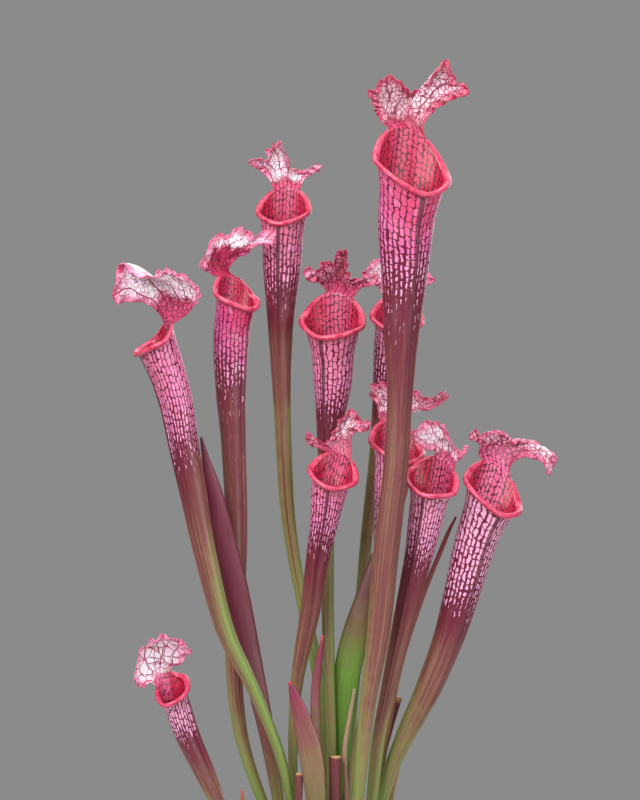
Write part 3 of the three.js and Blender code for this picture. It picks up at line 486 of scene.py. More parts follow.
def through(points, t):
    """Smooth values through evenly spaced rows of numbers, at t from 0 to 1."""
    points = np.asarray(points, float)
    t = np.asarray(t, float)
    last = len(points) - 1
    at = np.clip(t, 0, 1) * last
    i = np.minimum(last - 1, np.floor(at)).astype(int)
    u = (at - i)[..., None]
    padded = np.concatenate([[2 * points[0] - points[1]], points, [2 * points[-1] - points[-2]]])
    a, b, c, d = (padded[i + k] for k in range(4))
    return b + 0.5 * u * (c - a + u * (2 * a - 5 * b + 4 * c - d + u * (3 * (b - c) + d - a)))


def unit(vectors):
    return vectors / np.maximum(np.linalg.norm(vectors, axis=-1, keepdims=True), 1e-9)


def round_angles(count):
    return np.linspace(0, 2 * math.pi, count, endpoint=False)


def wave(amounts, angle, phase):
    """A sine wave from its height and how far it turns with the angle and with the phase."""
    height, turn, phase_turn = amounts
    return height * np.sin(turn * angle + phase_turn * phase)


def lumps(points, size, seed):
    """Smooth noise from -1 to 1 at points (n, 3), in lumps of the given size, from a hashed grid."""
    at = np.asarray(points, float) / size
    cell = np.floor(at).astype(np.int64)
    f = at - cell
    f = f * f * (3 - 2 * f)
    total = np.zeros(len(at))
    for corner in range(8):
        bits = np.array([corner & 1, corner >> 1 & 1, corner >> 2 & 1])
        key = cell + bits
        mixed = key[:, 0] * 73856093 ^ key[:, 1] * 19349663 ^ key[:, 2] * 83492791 ^ seed * 2654435761
        mixed = (mixed ^ mixed >> 13) * 1274126177 & 0x7FFFFFFF
        value = (mixed % 65536) / 32767.5 - 1
        total += value * np.prod(np.where(bits == 1, f, 1 - f), axis=1)
    return total


def spine_at(leaf, s):
    """Middle, half-width and axes of a leaf at s, from 0 at its foot to 1 at its mouth or tip."""
    s = np.asarray(s, float)
    step = 0.01
    at = through(leaf["spine"], s)
    ahead = through(leaf["spine"], np.minimum(1, s + step))[..., :3]
    behind = through(leaf["spine"], np.maximum(0, s - step))[..., :3]
    up = unit(ahead - behind)
    faces = math.radians(leaf["faces"])
    look = np.array([math.sin(faces), -math.cos(faces), 0])
    front = unit(look - up * (up @ look)[..., None])
    side = np.cross(up, front)
    return at[..., :3], at[..., 3], up, front, side


# Pitcher shapes

def from_keel(angle):
    return np.abs((angle + 180) % 360 - 180)


def bearing(pitcher, angle):
    """Where an angle from the keel lies, in degrees from the front; the neck stays at the back."""
    return angle + pitcher["keel"] * np.maximum(0, 1 - from_keel(angle) / (180 - NECK_HALF_ANGLE))


def forward(pitcher, angle):
    """Share of the rim's drop at an angle: 1 where the mouth tips to, -1 opposite, with a blunt spout."""
    turn = np.radians(angle)
    away = np.hypot(np.sin(turn), SPOUT_BLUNTNESS)
    least, most = SPOUT_BLUNTNESS, math.hypot(1, SPOUT_BLUNTNESS)
    spout = np.where(np.cos(turn) < 0, 0, (most - away) / (most - least) - np.cos(turn))
    return np.cos(np.radians(bearing(pitcher, angle) - pitcher["tips"])) + SPOUT * spout


def depth_at(s):
    return DEPTH_AT_FOOT + (DEPTH_AT_MOUTH - DEPTH_AT_FOOT) * smoothstep(*DEPTH_GROWS, s)


def tube_points(pitcher, angles, s, inset):
    """Grid of points (rows up the tube, angles round it), inset inwards from the outer face."""
    angles = np.asarray(angles, float)[None, :]
    s = np.asarray(s, float)
    middle, half, up, front, side = (v[:, None] for v in spine_at(pitcher, s))
    s = s[:, None]
    flare = (pitcher["mouth"] - pitcher["spine"][-1][3]) * smoothstep(FLARE_FROM, 1, s)
    lost = smoothstep(*FLARE_FADE, from_keel(angles))
    neck = smoothstep(NECK_FROM, 180 - NECK_HALF_ANGLE, from_keel(angles)) * smoothstep(NECK_STARTS, 1, s)
    wide = (half + flare * (1 - lost * FLARE_LOST_AT_NECK)) * (1 - NECK_WAIST * neck) - inset
    deep = (half + flare * (1 - lost)) * depth_at(s) - inset
    drop = pitcher["mouth"] * DEPTH_AT_MOUTH * math.tan(math.radians(pitcher["slant"]))
    slanted = drop * forward(pitcher, angles) * smoothstep(SLANT_FROM, 1, s)
    rise = NECK_RISE * pitcher["mouth"] * neck - slanted
    turn = np.radians(bearing(pitcher, angles))
    return (middle + up * rise[..., None] + side * (wide * np.sin(turn))[..., None]
            + front * (deep * np.cos(turn))[..., None])


def lip_rings(pitcher, angles, outer_rim, inner_rim):
    """Rings from the outer rim over the rolled lip to the inner rim."""
    _, _, up, front, side = spine_at(pitcher, np.array([1.0]))
    thinned = smoothstep(LIP_THINS_FROM, 180 - NECK_HALF_ANGLE, from_keel(angles))
    radius = LIP_AT_NECK + (pitcher["lip"] - LIP_AT_NECK) * (1 - thinned)
    turn = np.radians(bearing(pitcher, angles))
    outward = side * np.sin(turn)[:, None] + front * np.cos(turn)[:, None]
    rolled = [outer_rim + outward * (out * radius)[:, None] + up * (high * radius)[:, None]
              for out, high in LIP_PROFILE]
    rings = np.array([outer_rim, *rolled, inner_rim])
    t = np.linspace(0, 1, LIP_ROWS + 1)
    return through(rings.reshape(len(rings), -1), t).reshape(len(t), -1, 3)


def lid_fan(b, v):
    """Direction from the middle of the lid's foot, which orders the waves along its margin."""
    return np.arctan2(b, RUFFLE_FAN * (v - RUFFLE_CENTRE))


def lid_ruffle(pitcher, b, v):
    height, count, phase = pitcher["ruffle"]
    edge = np.minimum(1 - np.abs(b), RUFFLE_TOP_REACH * (1 - v))
    strength = (1 - smoothstep(0, RUFFLE_REACH, edge)) * smoothstep(*RUFFLE_STARTS, v)
    return height * strength * np.sin(count * lid_fan(b, v) + phase)


def lid_sheet(pitcher, b, v):
    """Middle of the lid's sheet on a grid: b from -1 at its left to 1 at its right, v up from the neck."""
    mouth = np.array(pitcher["spine"][-1][:3], float)

    def rim(at):
        return tube_points(pitcher, 180 - NECK_HALF_ANGLE * np.atleast_1d(at), [1], WALL / 2)[0] - mouth

    left_foot, right_foot = rim(-1.0)[0], rim(1.0)[0]
    left_ear, right_ear = np.array(pitcher["top"][0], float), np.array(pitcher["top"][-1], float)
    across = ((b + 1) / 2)[None, :, None]
    height = v[:, None, None]
    left = through([left_foot, *pitcher["left"], left_ear], v)[:, None]
    right = through([right_foot, *pitcher["right"], right_ear], v)[:, None]
    top = through(pitcher["top"], (b + 1) / 2)[None]
    point = (left * (1 - across) + right * across + rim(b)[None] * (1 - height) + top * height
             - left_foot * (1 - across) * (1 - height) - right_foot * across * (1 - height)
             - left_ear * (1 - across) * height - right_ear * across * height)
    front = spine_at(pitcher, np.array([1.0]))[3]
    grid_b, grid_v = np.broadcast_arrays(b[None, :], v[:, None])
    bow = -pitcher["belly"] * (1 - grid_b ** 2) * 4 * grid_v * (1 - grid_v)
    return point + front[0] * (bow + lid_ruffle(pitcher, grid_b, grid_v))[..., None] + mouth


def sheet_normal(sheet, sense):
    across = np.gradient(sheet, axis=1) * sense
    return unit(np.cross(across, np.gradient(sheet, axis=0)))


def margin_distance(sheet):
    """Each point's way to the nearer of the sheet's two sides, and to its top, in millimetres."""
    width = np.linalg.norm(np.diff(sheet, axis=1), axis=-1)
    from_left = np.concatenate([np.zeros((len(sheet), 1)), np.cumsum(width, axis=1)], axis=1)
    height = np.linalg.norm(np.diff(sheet, axis=0), axis=-1)
    from_foot = np.concatenate([np.zeros((1, sheet.shape[1])), np.cumsum(height, axis=0)])
    return np.minimum(from_left, from_left[:, -1:] - from_left), from_foot[-1:] - from_foot


def rounded_corners(sheet, b, radius):
    """The sheet with its two upper corners drawn in to quarter circles."""
    to_side, to_top = margin_distance(sheet)
    x = np.clip(1 - to_side / radius, 0, 1)
    y = np.clip(1 - to_top / radius, 0, 1)
    length = np.maximum(np.hypot(x, y), 1e-6)
    inward = 1 - np.maximum(x, y) / length
    sideways = unit(np.gradient(sheet, axis=1)) * (np.sign(b) * np.sign(b[-1] - b[0]))[None, :, None]
    upwards = unit(np.gradient(sheet, axis=0))
    return sheet - (sideways * (x * inward)[..., None] + upwards * (y * inward)[..., None]) * radius


def lid_faces(pitcher, b, v):
    """Rear and front faces of the crimped lid, each point's distance from the margin, and its crimp."""
    sheet = rounded_corners(lid_sheet(pitcher, b, v), b, CORNER_RADIUS * pitcher["mouth"])
    sense = np.sign(b[-1] - b[0])
    margin = np.minimum(*margin_distance(sheet))
    grid_b, grid_v = np.broadcast_arrays(b[None, :], v[:, None])
    fan = lid_fan(grid_b, grid_v)
    start = pitcher["ruffle"][2]
    turn = CRIMPS_PER_WIDTH * pitcher["mouth"] * fan + wave(CRIMP_SHIFT, fan, start)
    turn = turn + CRIMP_PHASE_TURN * start
    uneven = 1 - CRIMP_FADE[0] + wave(CRIMP_FADE, fan, start)
    near = (1 - smoothstep(0, CRIMP_REACH, margin)) * smoothstep(*CRIMP_STARTS, grid_v) * uneven
    normal = sheet_normal(sheet, sense)
    outward = sheet - sheet[LID_ROWS // 2, LID_COLUMNS // 2]
    outward = unit(outward - normal * np.sum(outward * normal, axis=-1, keepdims=True))
    crimp = near * np.sin(turn)
    # Round lobes outwards with narrow dips between them
    scallop = near ** 2 * (np.abs(np.cos(turn / 2 + SCALLOP_TURN)) - SCALLOP_DIP)
    sheet = sheet + normal * (CRIMP_SWING * crimp)[..., None]
    sheet = sheet + outward * (CRIMP_SCALLOP * scallop)[..., None]
    full = smoothstep(0, EDGE_THINS, margin)
    thickness = LID_EDGE_THICKNESS + (LID_THICKNESS - LID_EDGE_THICKNESS) * full
    thickness = thickness + (WALL - thickness) * (1 - smoothstep(0, FOOT_THINS_TO, v))[:, None]
    shift = sheet_normal(sheet, sense) * (thickness / 2)[..., None]
    return sheet - shift, sheet + shift, margin, crimp


class Surface:
    """Collects one closed mesh from rows of points, with a material number for each face."""

    def __init__(self):
        self.points = []
        self.count = 0
        self.faces = []
        self.materials = []
        self.values = {}

    def rows(self, grid, **values):
        """Adds a grid of points and returns their numbers in the same layout."""
        grid = np.asarray(grid, float)
        size = grid.shape[0] * grid.shape[1]
        numbers = np.arange(self.count, self.count + size).reshape(grid.shape[:2])
        self.points.append(grid.reshape(-1, 3))
        for name, value in values.items():
            value = np.asarray(value, float)
            wide = value.shape[2:] if value.ndim > 2 else ()
            value = np.broadcast_to(value, grid.shape[:2] + wide).reshape(size, *wide)
            self.values.setdefault(name, []).append((self.count, value))
        self.count += size
        return numbers

    def polygons(self, faces, material=0, flip=False):
        self.faces += [face[::-1] for face in faces] if flip else faces
        self.materials += [material] * len(faces)

    def strip(self, numbers, material=0, closed=False, flip=False):
        """Quads between neighbouring rows; their outside is on the left of a row unless flipped."""
        across = np.concatenate([numbers, numbers[:, :1]], axis=1) if closed else numbers
        quads = np.stack([across[:-1, :-1], across[:-1, 1:], across[1:, 1:], across[1:, :-1]], axis=-1)
        self.polygons(quads.reshape(-1, 4).tolist(), material, flip)

    def fan(self, numbers, centre, material=0, flip=False, **values):
        """Closes a ring of point numbers with triangles round a centre."""
        middle = self.rows(np.asarray(centre, float).reshape(1, 1, 3), **values)[0, 0]
        self.polygons([[middle, a, b] for a, b in zip(numbers, np.roll(numbers, -1))], material, flip)

    def body(self, grid, foot, tip, flip=False, tip_values=None, **values):
        """A closed body of one material: a ring in each row of the grid, and a middle point at each end."""
        numbers = self.rows(grid, **values)
        self.strip(numbers, closed=True, flip=flip)
        self.fan(numbers[0], foot, flip=not flip)
        self.fan(numbers[-1], tip, flip=flip, **(tip_values or {}))

    def make(self, name, materials):
        mesh = bpy.data.meshes.new(name)
        mesh.from_pydata((np.concatenate(self.points) * MM).tolist(), [], self.faces)
        for value_name, parts in self.values.items():
            wide = parts[0][1].shape[1:]
            full = np.zeros((self.count, *wide), np.float32)
            for start, value in parts:
                full[start:start + len(value)] = value
            attribute = mesh.attributes.new(value_name, "FLOAT_VECTOR" if wide else "FLOAT", "POINT")
            attribute.data.foreach_set("vector" if wide else "value", full.ravel())
        for material in materials:
            mesh.materials.append(material)
        mesh.polygons.foreach_set("material_index", np.array(self.materials, np.int32))
        mesh.polygons.foreach_set("use_smooth", np.ones(len(self.faces), bool))
        mesh.update()
        thing = bpy.data.objects.new(name, mesh)
        bpy.context.scene.collection.objects.link(thing)
        return thing


def cell_heights(pitcher, s, seed):
    """Windows counted up the tube, so that they are long near the mouth and shorter at the net's foot."""
    fine = np.linspace(0, 1, NET_STEPS)
    middle = spine_at(pitcher, fine)[0]
    step = np.concatenate([[0], np.linalg.norm(np.diff(middle, axis=0), axis=1)])
    share = smoothstep(pitcher["zones"][2], 1, fine)
    cells = np.cumsum(step / (CELL_AT_NET_FOOT + (CELL_AT_MOUTH - CELL_AT_NET_FOOT) * share))
    return np.interp(s, fine, cells) + CELLS_APART * seed


def net_place(cells, angles, seed):
    """Place in the net: files round the tube, cells up it, and a number for each pitcher."""
    grid = np.empty((len(cells), len(angles), 3))
    grid[..., 0] = angles / 360 * NET_FILES
    grid[..., 1] = cells[:, None]
    grid[..., 2] = DEPTHS_APART * seed
    return grid


def tube_shares(start, rows):
    """Shares up the tube from start, closer together towards the mouth."""
    below, above = rows
    return np.concatenate([
        np.linspace(start, MOUTH_PART, below + 1), np.linspace(MOUTH_PART, 1, above + 1)[1:],
    ])


def winged_tube(pitcher, angles, s):
    """Outer face of the tube with its wing, and how near each angle is to the wing's ridge."""
    ridge = np.clip(1 - from_keel(angles) / WING_HALF_ANGLE, 0, 1)
    along = smoothstep(*WING_RISES, s) * (1 - smoothstep(*WING_ENDS, s))
    wing = pitcher["wing"] * along[:, None] * ridge[None, :]
    front, side = spine_at(pitcher, s)[3:]
    keel = math.radians(pitcher["keel"])
    keel_way = side * math.sin(keel) + front * math.cos(keel)
    return tube_points(pitcher, angles, s, 0) + keel_way[:, None] * wing[..., None], ridge


def lid_values(pitcher, b, v, margin, crimp):
    """What the lid's look reads at each point."""
    pale_from, change, palest, pale_margin, pale_ears, pale_tube = pitcher["pale"]
    pale = palest * smoothstep(pale_from - change, pale_from + change, v)[:, None]
    ears = smoothstep(*EARS_FROM, np.abs(b)) * smoothstep(*EARS_FROM, v)[:, None]
    return {
        "zone": MOUTH_ZONE, "edge": margin[1:], "pale": np.maximum(pale, pale_ears * ears)[1:],
        "crimp": crimp[1:], "rim": pale_margin, "light": pale_tube, "height": v[1:, None],
        "net_scale": pitcher.get("lid_net", 1.0),
    }


def pitcher_piece(name, pitcher, seed, materials):
    """One pitcher: tube, throat, lip and lid in one closed mesh."""
    neck = 180 - NECK_HALF_ANGLE
    right = [*KEEL_ANGLES, *np.linspace(KEEL_ANGLES[-1], neck, SIDE_COLUMNS + 1)[1:]]
    back = np.linspace(neck, 360 - neck, LID_COLUMNS + 1)[1:-1]
    angles = np.array([*right, *back, *[360 - a for a in right[:0:-1]]])
    first = len(right) - 1
    last = first + LID_COLUMNS
    at_lid = slice(first, last + 1)
    at_lip = np.r_[last:len(angles), 0:first + 1]
    zone_marks = [0, *pitcher["zones"], 1]
    surface = Surface()

    def values(s):
        """What the looks of tube and throat read, and the lid's look at the rim."""
        return {
            "skin": net_place(cell_heights(pitcher, s, seed), angles, seed),
            "zone": np.interp(s, zone_marks, range(len(zone_marks)))[:, None],
            "edge": FAR_FROM_EDGE, "light": pitcher["pale"][-1],
        }

    s = tube_shares(0, TUBE_ROWS)
    outer, ridge = winged_tube(pitcher, angles, s)
    outer_numbers = surface.rows(outer, keel=ridge[None, :], **values(s))
    surface.strip(outer_numbers, ON_TUBE, closed=True)
    surface.fan(outer_numbers[0], pitcher["spine"][0][:3], ON_TUBE, flip=True)

    floor = s[int(np.argmax(spine_at(pitcher, s)[1] > CAVITY_FROM_RADIUS))]
    deep = tube_shares(floor, THROAT_ROWS)
    inner = tube_points(pitcher, angles, deep, WALL)
    inner_numbers = surface.rows(inner, **values(deep))
    surface.strip(inner_numbers, IN_THROAT, closed=True, flip=True)
    surface.fan(inner_numbers[0], spine_at(pitcher, np.array([floor]))[0][0], IN_THROAT)

    rings = lip_rings(pitcher, angles[at_lip], outer[-1][at_lip], inner[-1][at_lip])[1:-1]
    lip_numbers = np.vstack([outer_numbers[-1][at_lip], surface.rows(rings), inner_numbers[-1][at_lip]])
    surface.strip(lip_numbers, ON_LIP)
    for column, flip in ((0, False), (-1, True)):
        cap = lip_numbers[:, column].tolist()
        surface.polygons([[cap[0], a, b] for a, b in zip(cap[1:-1], cap[2:])], ON_LIP, flip)

    b = 1 - 2 * np.arange(LID_COLUMNS + 1) / LID_COLUMNS
    v = np.arange(LID_ROWS + 1) / LID_ROWS
    rear, face, margin, crimp = lid_faces(pitcher, b, v)
    tall = np.linalg.norm(np.diff(rear[:, LID_COLUMNS // 2], axis=0), axis=1)
    cells = cell_heights(pitcher, 1.0, seed) + np.cumsum(tall) / CELL_AT_MOUTH
    shared = {"skin": net_place(cells, angles[at_lid], seed), **lid_values(pitcher, b, v, margin, crimp)}
    rear_numbers = np.vstack([outer_numbers[-1][at_lid], surface.rows(rear[1:], **shared)])
    face_numbers = np.vstack([inner_numbers[-1][at_lid], surface.rows(face[1:], **shared)])
    surface.strip(rear_numbers, ON_LID_BACK)
    surface.strip(face_numbers, ON_LID_FACE, flip=True)
    surface.strip(np.stack([face_numbers[:, 0], rear_numbers[:, 0]]), ON_LID_FACE, flip=True)
    surface.strip(np.stack([face_numbers[:, -1], rear_numbers[:, -1]]), ON_LID_FACE)
    surface.strip(np.stack([rear_numbers[-1], face_numbers[-1]]), ON_LID_FACE)
    return surface.make(f"{name}_leaf", materials)


def leaf_piece(name, leaf, materials):
    """A flat or round leaf: rings along its spine, closed by a fan of triangles at its foot and its tip."""
    surface = Surface()
    s = np.linspace(0, 1, LEAF_ROWS + 1)
    middle, half, _, front, side = (v[:, None] for v in spine_at(leaf, s))
    angle = round_angles(LEAF_COLUMNS)[None, :]
    deep = np.maximum(np.minimum(half, leaf["least"]), half * LEAF_FLATNESS)
    sideways, forwards = half * np.sin(angle), deep * np.cos(angle)
    grid = middle + side * sideways[..., None] + front * forwards[..., None]
    steps = np.linalg.norm(np.diff(middle[:, 0], axis=0), axis=1)
    length = np.concatenate([[0], np.cumsum(steps)])[:, None]
    blade = np.stack([sideways, forwards, np.broadcast_to(length, sideways.shape)], axis=-1)
    tip_values = {"along": 1.0, "blade": [[[0, 0, length[-1, 0]]]]}
    surface.body(grid, leaf["spine"][0][:3], leaf["spine"][-1][:3], tip_values=tip_values,
                 along=s[:, None], across=np.sin(angle), blade=blade)
    return surface.make(f"{name}_leaf", materials)


# Root ball and rhizome

def ball_radius(height):
    return BALL_FOOT_RADIUS + (BALL_TOP_RADIUS - BALL_FOOT_RADIUS) * height


def ball_side(angle, height):
    """Point on the side of the root ball at a share of its height."""
    rough = sum(wave(amounts, angle, height) for amounts in BALL_WAVES)
    radius = ball_radius(height) + rough
    return np.stack([radius * np.cos(angle), radius * np.sin(angle), BALL_HEIGHT * height], axis=-1)


def root_ball_piece(materials):
    """Peat plug: flat foot, rough side, low mound on top, all broken up by crumbs."""
    t = np.linspace(0, 1, BALL_ROWS + 1)[1:-1]
    angle = round_angles(BALL_COLUMNS)
    out, high = np.clip(through(BALL_PROFILE, t), 0, 1).T
    radius = (ball_radius(high) * out)[:, None]
    top = BALL_HEIGHT * high + BALL_MOUND * (1 - out ** 2) * smoothstep(MOUND_STARTS, 1, high)
    places = np.broadcast_arrays(radius * np.cos(angle), radius * np.sin(angle), top[:, None])
    grid = np.stack(places, axis=-1)
    flat = grid.reshape(-1, 3)
    crumbs = sum(height * lumps(flat, size, SEED + k) for k, (height, size) in enumerate(CRUMBS))
    normal = unit(np.cross(np.gradient(grid, axis=1), np.gradient(grid, axis=0)))
    crumbs = crumbs.reshape(grid.shape[:2]) * smoothstep(0.0, FOOT_STAYS_FLAT_TO, high)[:, None]
    surface = Surface()
    surface.body(grid + normal * crumbs[..., None], [0, 0, 0], [0, 0, BALL_HEIGHT + BALL_MOUND])
    return surface.make("root_ball_peat", materials)


def add_root(surface, path, radius):
    """A closed tube along a path of points."""
    ahead = unit(np.gradient(path, axis=0))
    upright = abs(ahead[0, 2]) >= ROOT_UPRIGHT
    side = unit(np.cross(ahead, [1.0, 0.0, 0.0] if upright else [0.0, 0.0, 1.0]))
    over = np.cross(side, ahead)
    angle = round_angles(ROOT_SIDES)[None, :, None]
    ring = side[:, None] * np.cos(angle) + over[:, None] * np.sin(angle)
    surface.body(path[:, None] + ring * radius[:, None, None], path[0], path[-1], flip=True)


def roots_piece(materials):
    """Wiry roots pressed flat against the side of the root ball, as they grow against a pot's wall."""
    random = np.random.default_rng(SEED)
    surface = Surface()
    for _ in range(ROOT_COUNT):
        start = random.uniform(0, 2 * math.pi)
        high, low = sorted(random.uniform(*ROOT_ENDS, 2), reverse=True)
        if high - low < ROOT_LEAST_DROP:
            low = max(ROOT_LOWEST, high - ROOT_LEAST_DROP)
        drift = random.uniform(-ROOT_DRIFT, ROOT_DRIFT) * np.linspace(0, 1, ROOT_STEPS) ** ROOT_DRIFT_BEND
        reach = random.uniform(*ROOT_SWAY)
        sway = reach * np.sin(np.linspace(0, random.uniform(*ROOT_SWAY_TURN), ROOT_STEPS) + start)
        path = ball_side(start + drift + sway, np.linspace(high, low, ROOT_STEPS))
        path = path + unit(path * np.array([1.0, 1.0, 0.0])) * random.uniform(*ROOT_LIFT)
        add_root(surface, path, random.uniform(*ROOT_RADIUS) * np.linspace(1, ROOT_TIP, ROOT_STEPS))
    return surface.make("root_ball_roots", materials)


def perlite_piece(materials):
    """Pale angular grains in the side and the top of the root ball."""
    random = np.random.default_rng(SEED + len(CRUMBS))
    surface = Surface()
    for k in range(GRAIN_COUNT):
        angle = random.uniform(0, 2 * math.pi)
        if k % 3:
            point = ball_side(np.array(angle), np.array(random.uniform(*GRAIN_HEIGHTS)))
            point = point * np.array([GRAIN_SINKS_TO, GRAIN_SINKS_TO, 1])
        else:
            radius = BALL_TOP_RADIUS * GRAINS_REACH * math.sqrt(random.uniform(0, 1))
            high = BALL_HEIGHT + BALL_MOUND * (1 - (radius / BALL_TOP_RADIUS) ** 2)
            point = np.array([radius * math.cos(angle), radius * math.sin(angle), high])
        size = random.uniform(*GRAIN_RADIUS)
        shape = GRAIN_CORNERS * random.uniform(*GRAIN_STRETCH, (len(GRAIN_CORNERS), 1)) * size
        shape = shape + random.uniform(-GRAIN_SHIFT, GRAIN_SHIFT, GRAIN_CORNERS.shape) * size
        numbers = surface.rows((shape + point)[None])[0]
        surface.polygons(numbers[GRAIN_FACES].tolist())
    return surface.make("root_ball_perlite", materials)


def rhizome_piece(materials):
    """Knobbly woody arms with rings of old leaf scars, fused into one body."""
    surface = Surface()
    t = np.linspace(0, 1, RHIZOME_ROWS)
    angle = round_angles(RHIZOME_COLUMNS)
    ends = np.sqrt(np.clip(1 - np.abs(2 * t - 1) ** ROUND_END_POWER, LEAST_END, 1))[:, None]
    for number, arm in enumerate(RHIZOME_ARMS):
        middle, thick, up, _, _ = spine_at({"spine": arm, "faces": 0}, t)
        across = unit(np.cross([0.0, 0.0, 1.0], up))
        high = np.cross(up, across)
        scars = 1 + SCAR_HEIGHT * np.abs(np.sin(SCAR_TURN_PER_POINT * t * len(arm) + number))[:, None]
        knobs = 1 + KNOB_HEIGHT * np.sin(KNOB_COUNT * angle[None, :] + KNOB_TURN * t[:, None] + number)
        radius = thick[:, None] * scars * knobs * ends
        grid = (middle[:, None] + across[:, None] * (radius * np.cos(angle))[..., None]
                + high[:, None] * (radius * np.sin(angle))[..., None])
        surface.body(grid, middle[0], middle[-1])
    piece = surface.make("rhizome_wood", materials)
    remesh = piece.modifiers.new("fuse", "REMESH")
    remesh.mode = "VOXEL"
    remesh.voxel_size = FUSE_VOXEL * MM
    fused = bpy.data.meshes.new_from_object(piece.evaluated_get(bpy.context.evaluated_depsgraph_get()))
    piece.modifiers.clear()
    piece.data = fused
    fused.polygons.foreach_set("use_smooth", np.ones(len(fused.polygons), bool))
    return piece


# Node materials

def rgb(colour):
    """Linear RGBA from sRGB numbers of 0 to 255."""
    share = np.array(colour, float) / 255
    linear = np.where(share <= 0.04045, share / 12.92, ((share + 0.055) / 1.055) ** 2.4)
    return (*linear.tolist(), 1.0)


class Value:
    """An output of a node. Sums, products and powers of it make math nodes."""

    def __init__(self, look, socket):
        self.look = look
        self.socket = socket

    def __add__(self, other):
        return self.look.math("ADD", self, other)

    def __sub__(self, other):
        return self.look.math("SUBTRACT", self, other)

    def __rsub__(self, other):
        return self.look.math("SUBTRACT", other, self)

    def __mul__(self, other):
        return self.look.math("MULTIPLY", self, other)

    def __pow__(self, other):
        return self.look.math("POWER", self, other)

    def __abs__(self):
        return self.look.math("ABSOLUTE", self)

    def whole(self):
        return self.look.math("FLOOR", self)

    def fraction(self):
        return self.look.math("FRACT", self)

    def band(self, start, end, low=0.0, high=1.0):
        """A smooth step from low to high as the value goes from start to end."""
        return self.look.value("MapRange", 0, {"interpolation_type": "SMOOTHSTEP"},
                               i0=self, i1=start, i2=end, i3=low, i4=high)


class Look:
    """One procedural material, built node by node."""

    def __init__(self, name, **fixed):
        self.material = bpy.data.materials.new(name)
        self.material.use_nodes = True
        self.tree = self.material.node_tree
        self.shader = self.tree.nodes["Principled BSDF"]
        self.fill(self.shader, fixed)

    def fill(self, node, inputs):
        """Links or sets inputs by their numbers (i0, i1 and so on) or their names in small letters."""
        for key, value in inputs.items():
            socket = node.inputs[int(key[1:]) if key[1:].isdigit() else key.replace("_", " ").title()]
            if isinstance(value, Value):
                self.tree.links.new(value.socket, socket)
            else:
                socket.default_value = value

    def node(self, kind, settings=None, **inputs):
        node = self.tree.nodes.new(f"ShaderNode{kind}")
        for key, value in (settings or {}).items():
            setattr(node, key, value)
        self.fill(node, inputs)
        return node

    def value(self, kind, output, settings=None, **inputs):
        """One output of a new node, by its name or number."""
        return Value(self, self.node(kind, settings, **inputs).outputs[output])

    def attribute(self, name, output="Fac"):
        return self.value("Attribute", output, {"attribute_name": name})

    def place(self):
        """Place on the plant, in millimetres."""
        return self.scaled(self.value("TexCoord", "Object"), (1 / MM, 1 / MM, 1 / MM))

    def parts(self, vector):
        return [Value(self, socket) for socket in self.node("SeparateXYZ", i0=vector).outputs]

    def math(self, operation, a, b=0.0):
        return self.value("Math", 0, {"operation": operation}, i0=a, i1=b)

    def largest(self, first, *others):
        for other in others:
            first = self.math("MAXIMUM", first, other)
        return first

    def vector_math(self, operation, vector, **inputs):
        return self.value("VectorMath", 0, {"operation": operation}, i0=vector, **inputs)

    def scaled(self, vector, scale):
        return self.value("Mapping", 0, i0=vector, i3=scale)

    def noise(self, vector, scale=1.0, detail=3.0, rough=0.5):
        return self.value("TexNoise", 0, vector=vector, scale=scale, detail=detail, roughness=rough)

    def warped(self, vector, scale, amount):
        """The vector, moved about by noise."""
        noise = self.value("TexNoise", 1, vector=vector, scale=scale, detail=1.0)
        centred = self.vector_math("SUBTRACT", noise, i1=(0.5, 0.5, 0.5))
        return self.vector_math("ADD", vector, i1=self.vector_math("SCALE", centred, scale=amount))

    def cells(self, vector, feature="DISTANCE_TO_EDGE", random=1.0):
        return self.value("TexVoronoi", "Distance", {"feature": feature}, vector=vector, scale=1.0,
                          randomness=random)

    def chance(self, x, y, z):
        """A random number from 0 to 1 that changes only with its three keys."""
        key = self.value("CombineXYZ", 0, i0=x, i1=y, i2=z)
        return self.value("TexWhiteNoise", 0, {"noise_dimensions": "3D"}, i0=key)

    def ramp(self, value, stops):
        """Colours along a value from 0 to 1; stops are (position, colour)."""
        node = self.node("ValToRGB", i0=value)
        elements = node.color_ramp.elements
        while len(elements) < len(stops):
            elements.new(0.5)
        for element, (position, colour) in zip(elements, stops):
            element.position = position
            element.color = rgb(colour)
        return Value(self, node.outputs[0])

    def mix(self, factor, a, b):
        """Colours a and b mixed; a and b are values or sRGB colours."""
        a, b = (rgb(colour) if isinstance(colour, tuple) else colour for colour in (a, b))
        return self.value("Mix", 2, {"data_type": "RGBA"}, i0=factor, i6=a, i7=b)

    def finish(self, colour, rough=None, bump=(), strength=0.4):
        """Joins colour, roughness and bumps (height, depth in millimetres) to the shader."""
        joined = {"base_color": colour}
        if rough is not None:
            joined["roughness"] = rough
        below = {}
        for height, depth in bump:
            below["normal"] = self.value("Bump", 0, height=height, distance=depth * MM, strength=strength,
                                         **below)
        self.fill(self.shader, {**joined, **below})
        return self.material


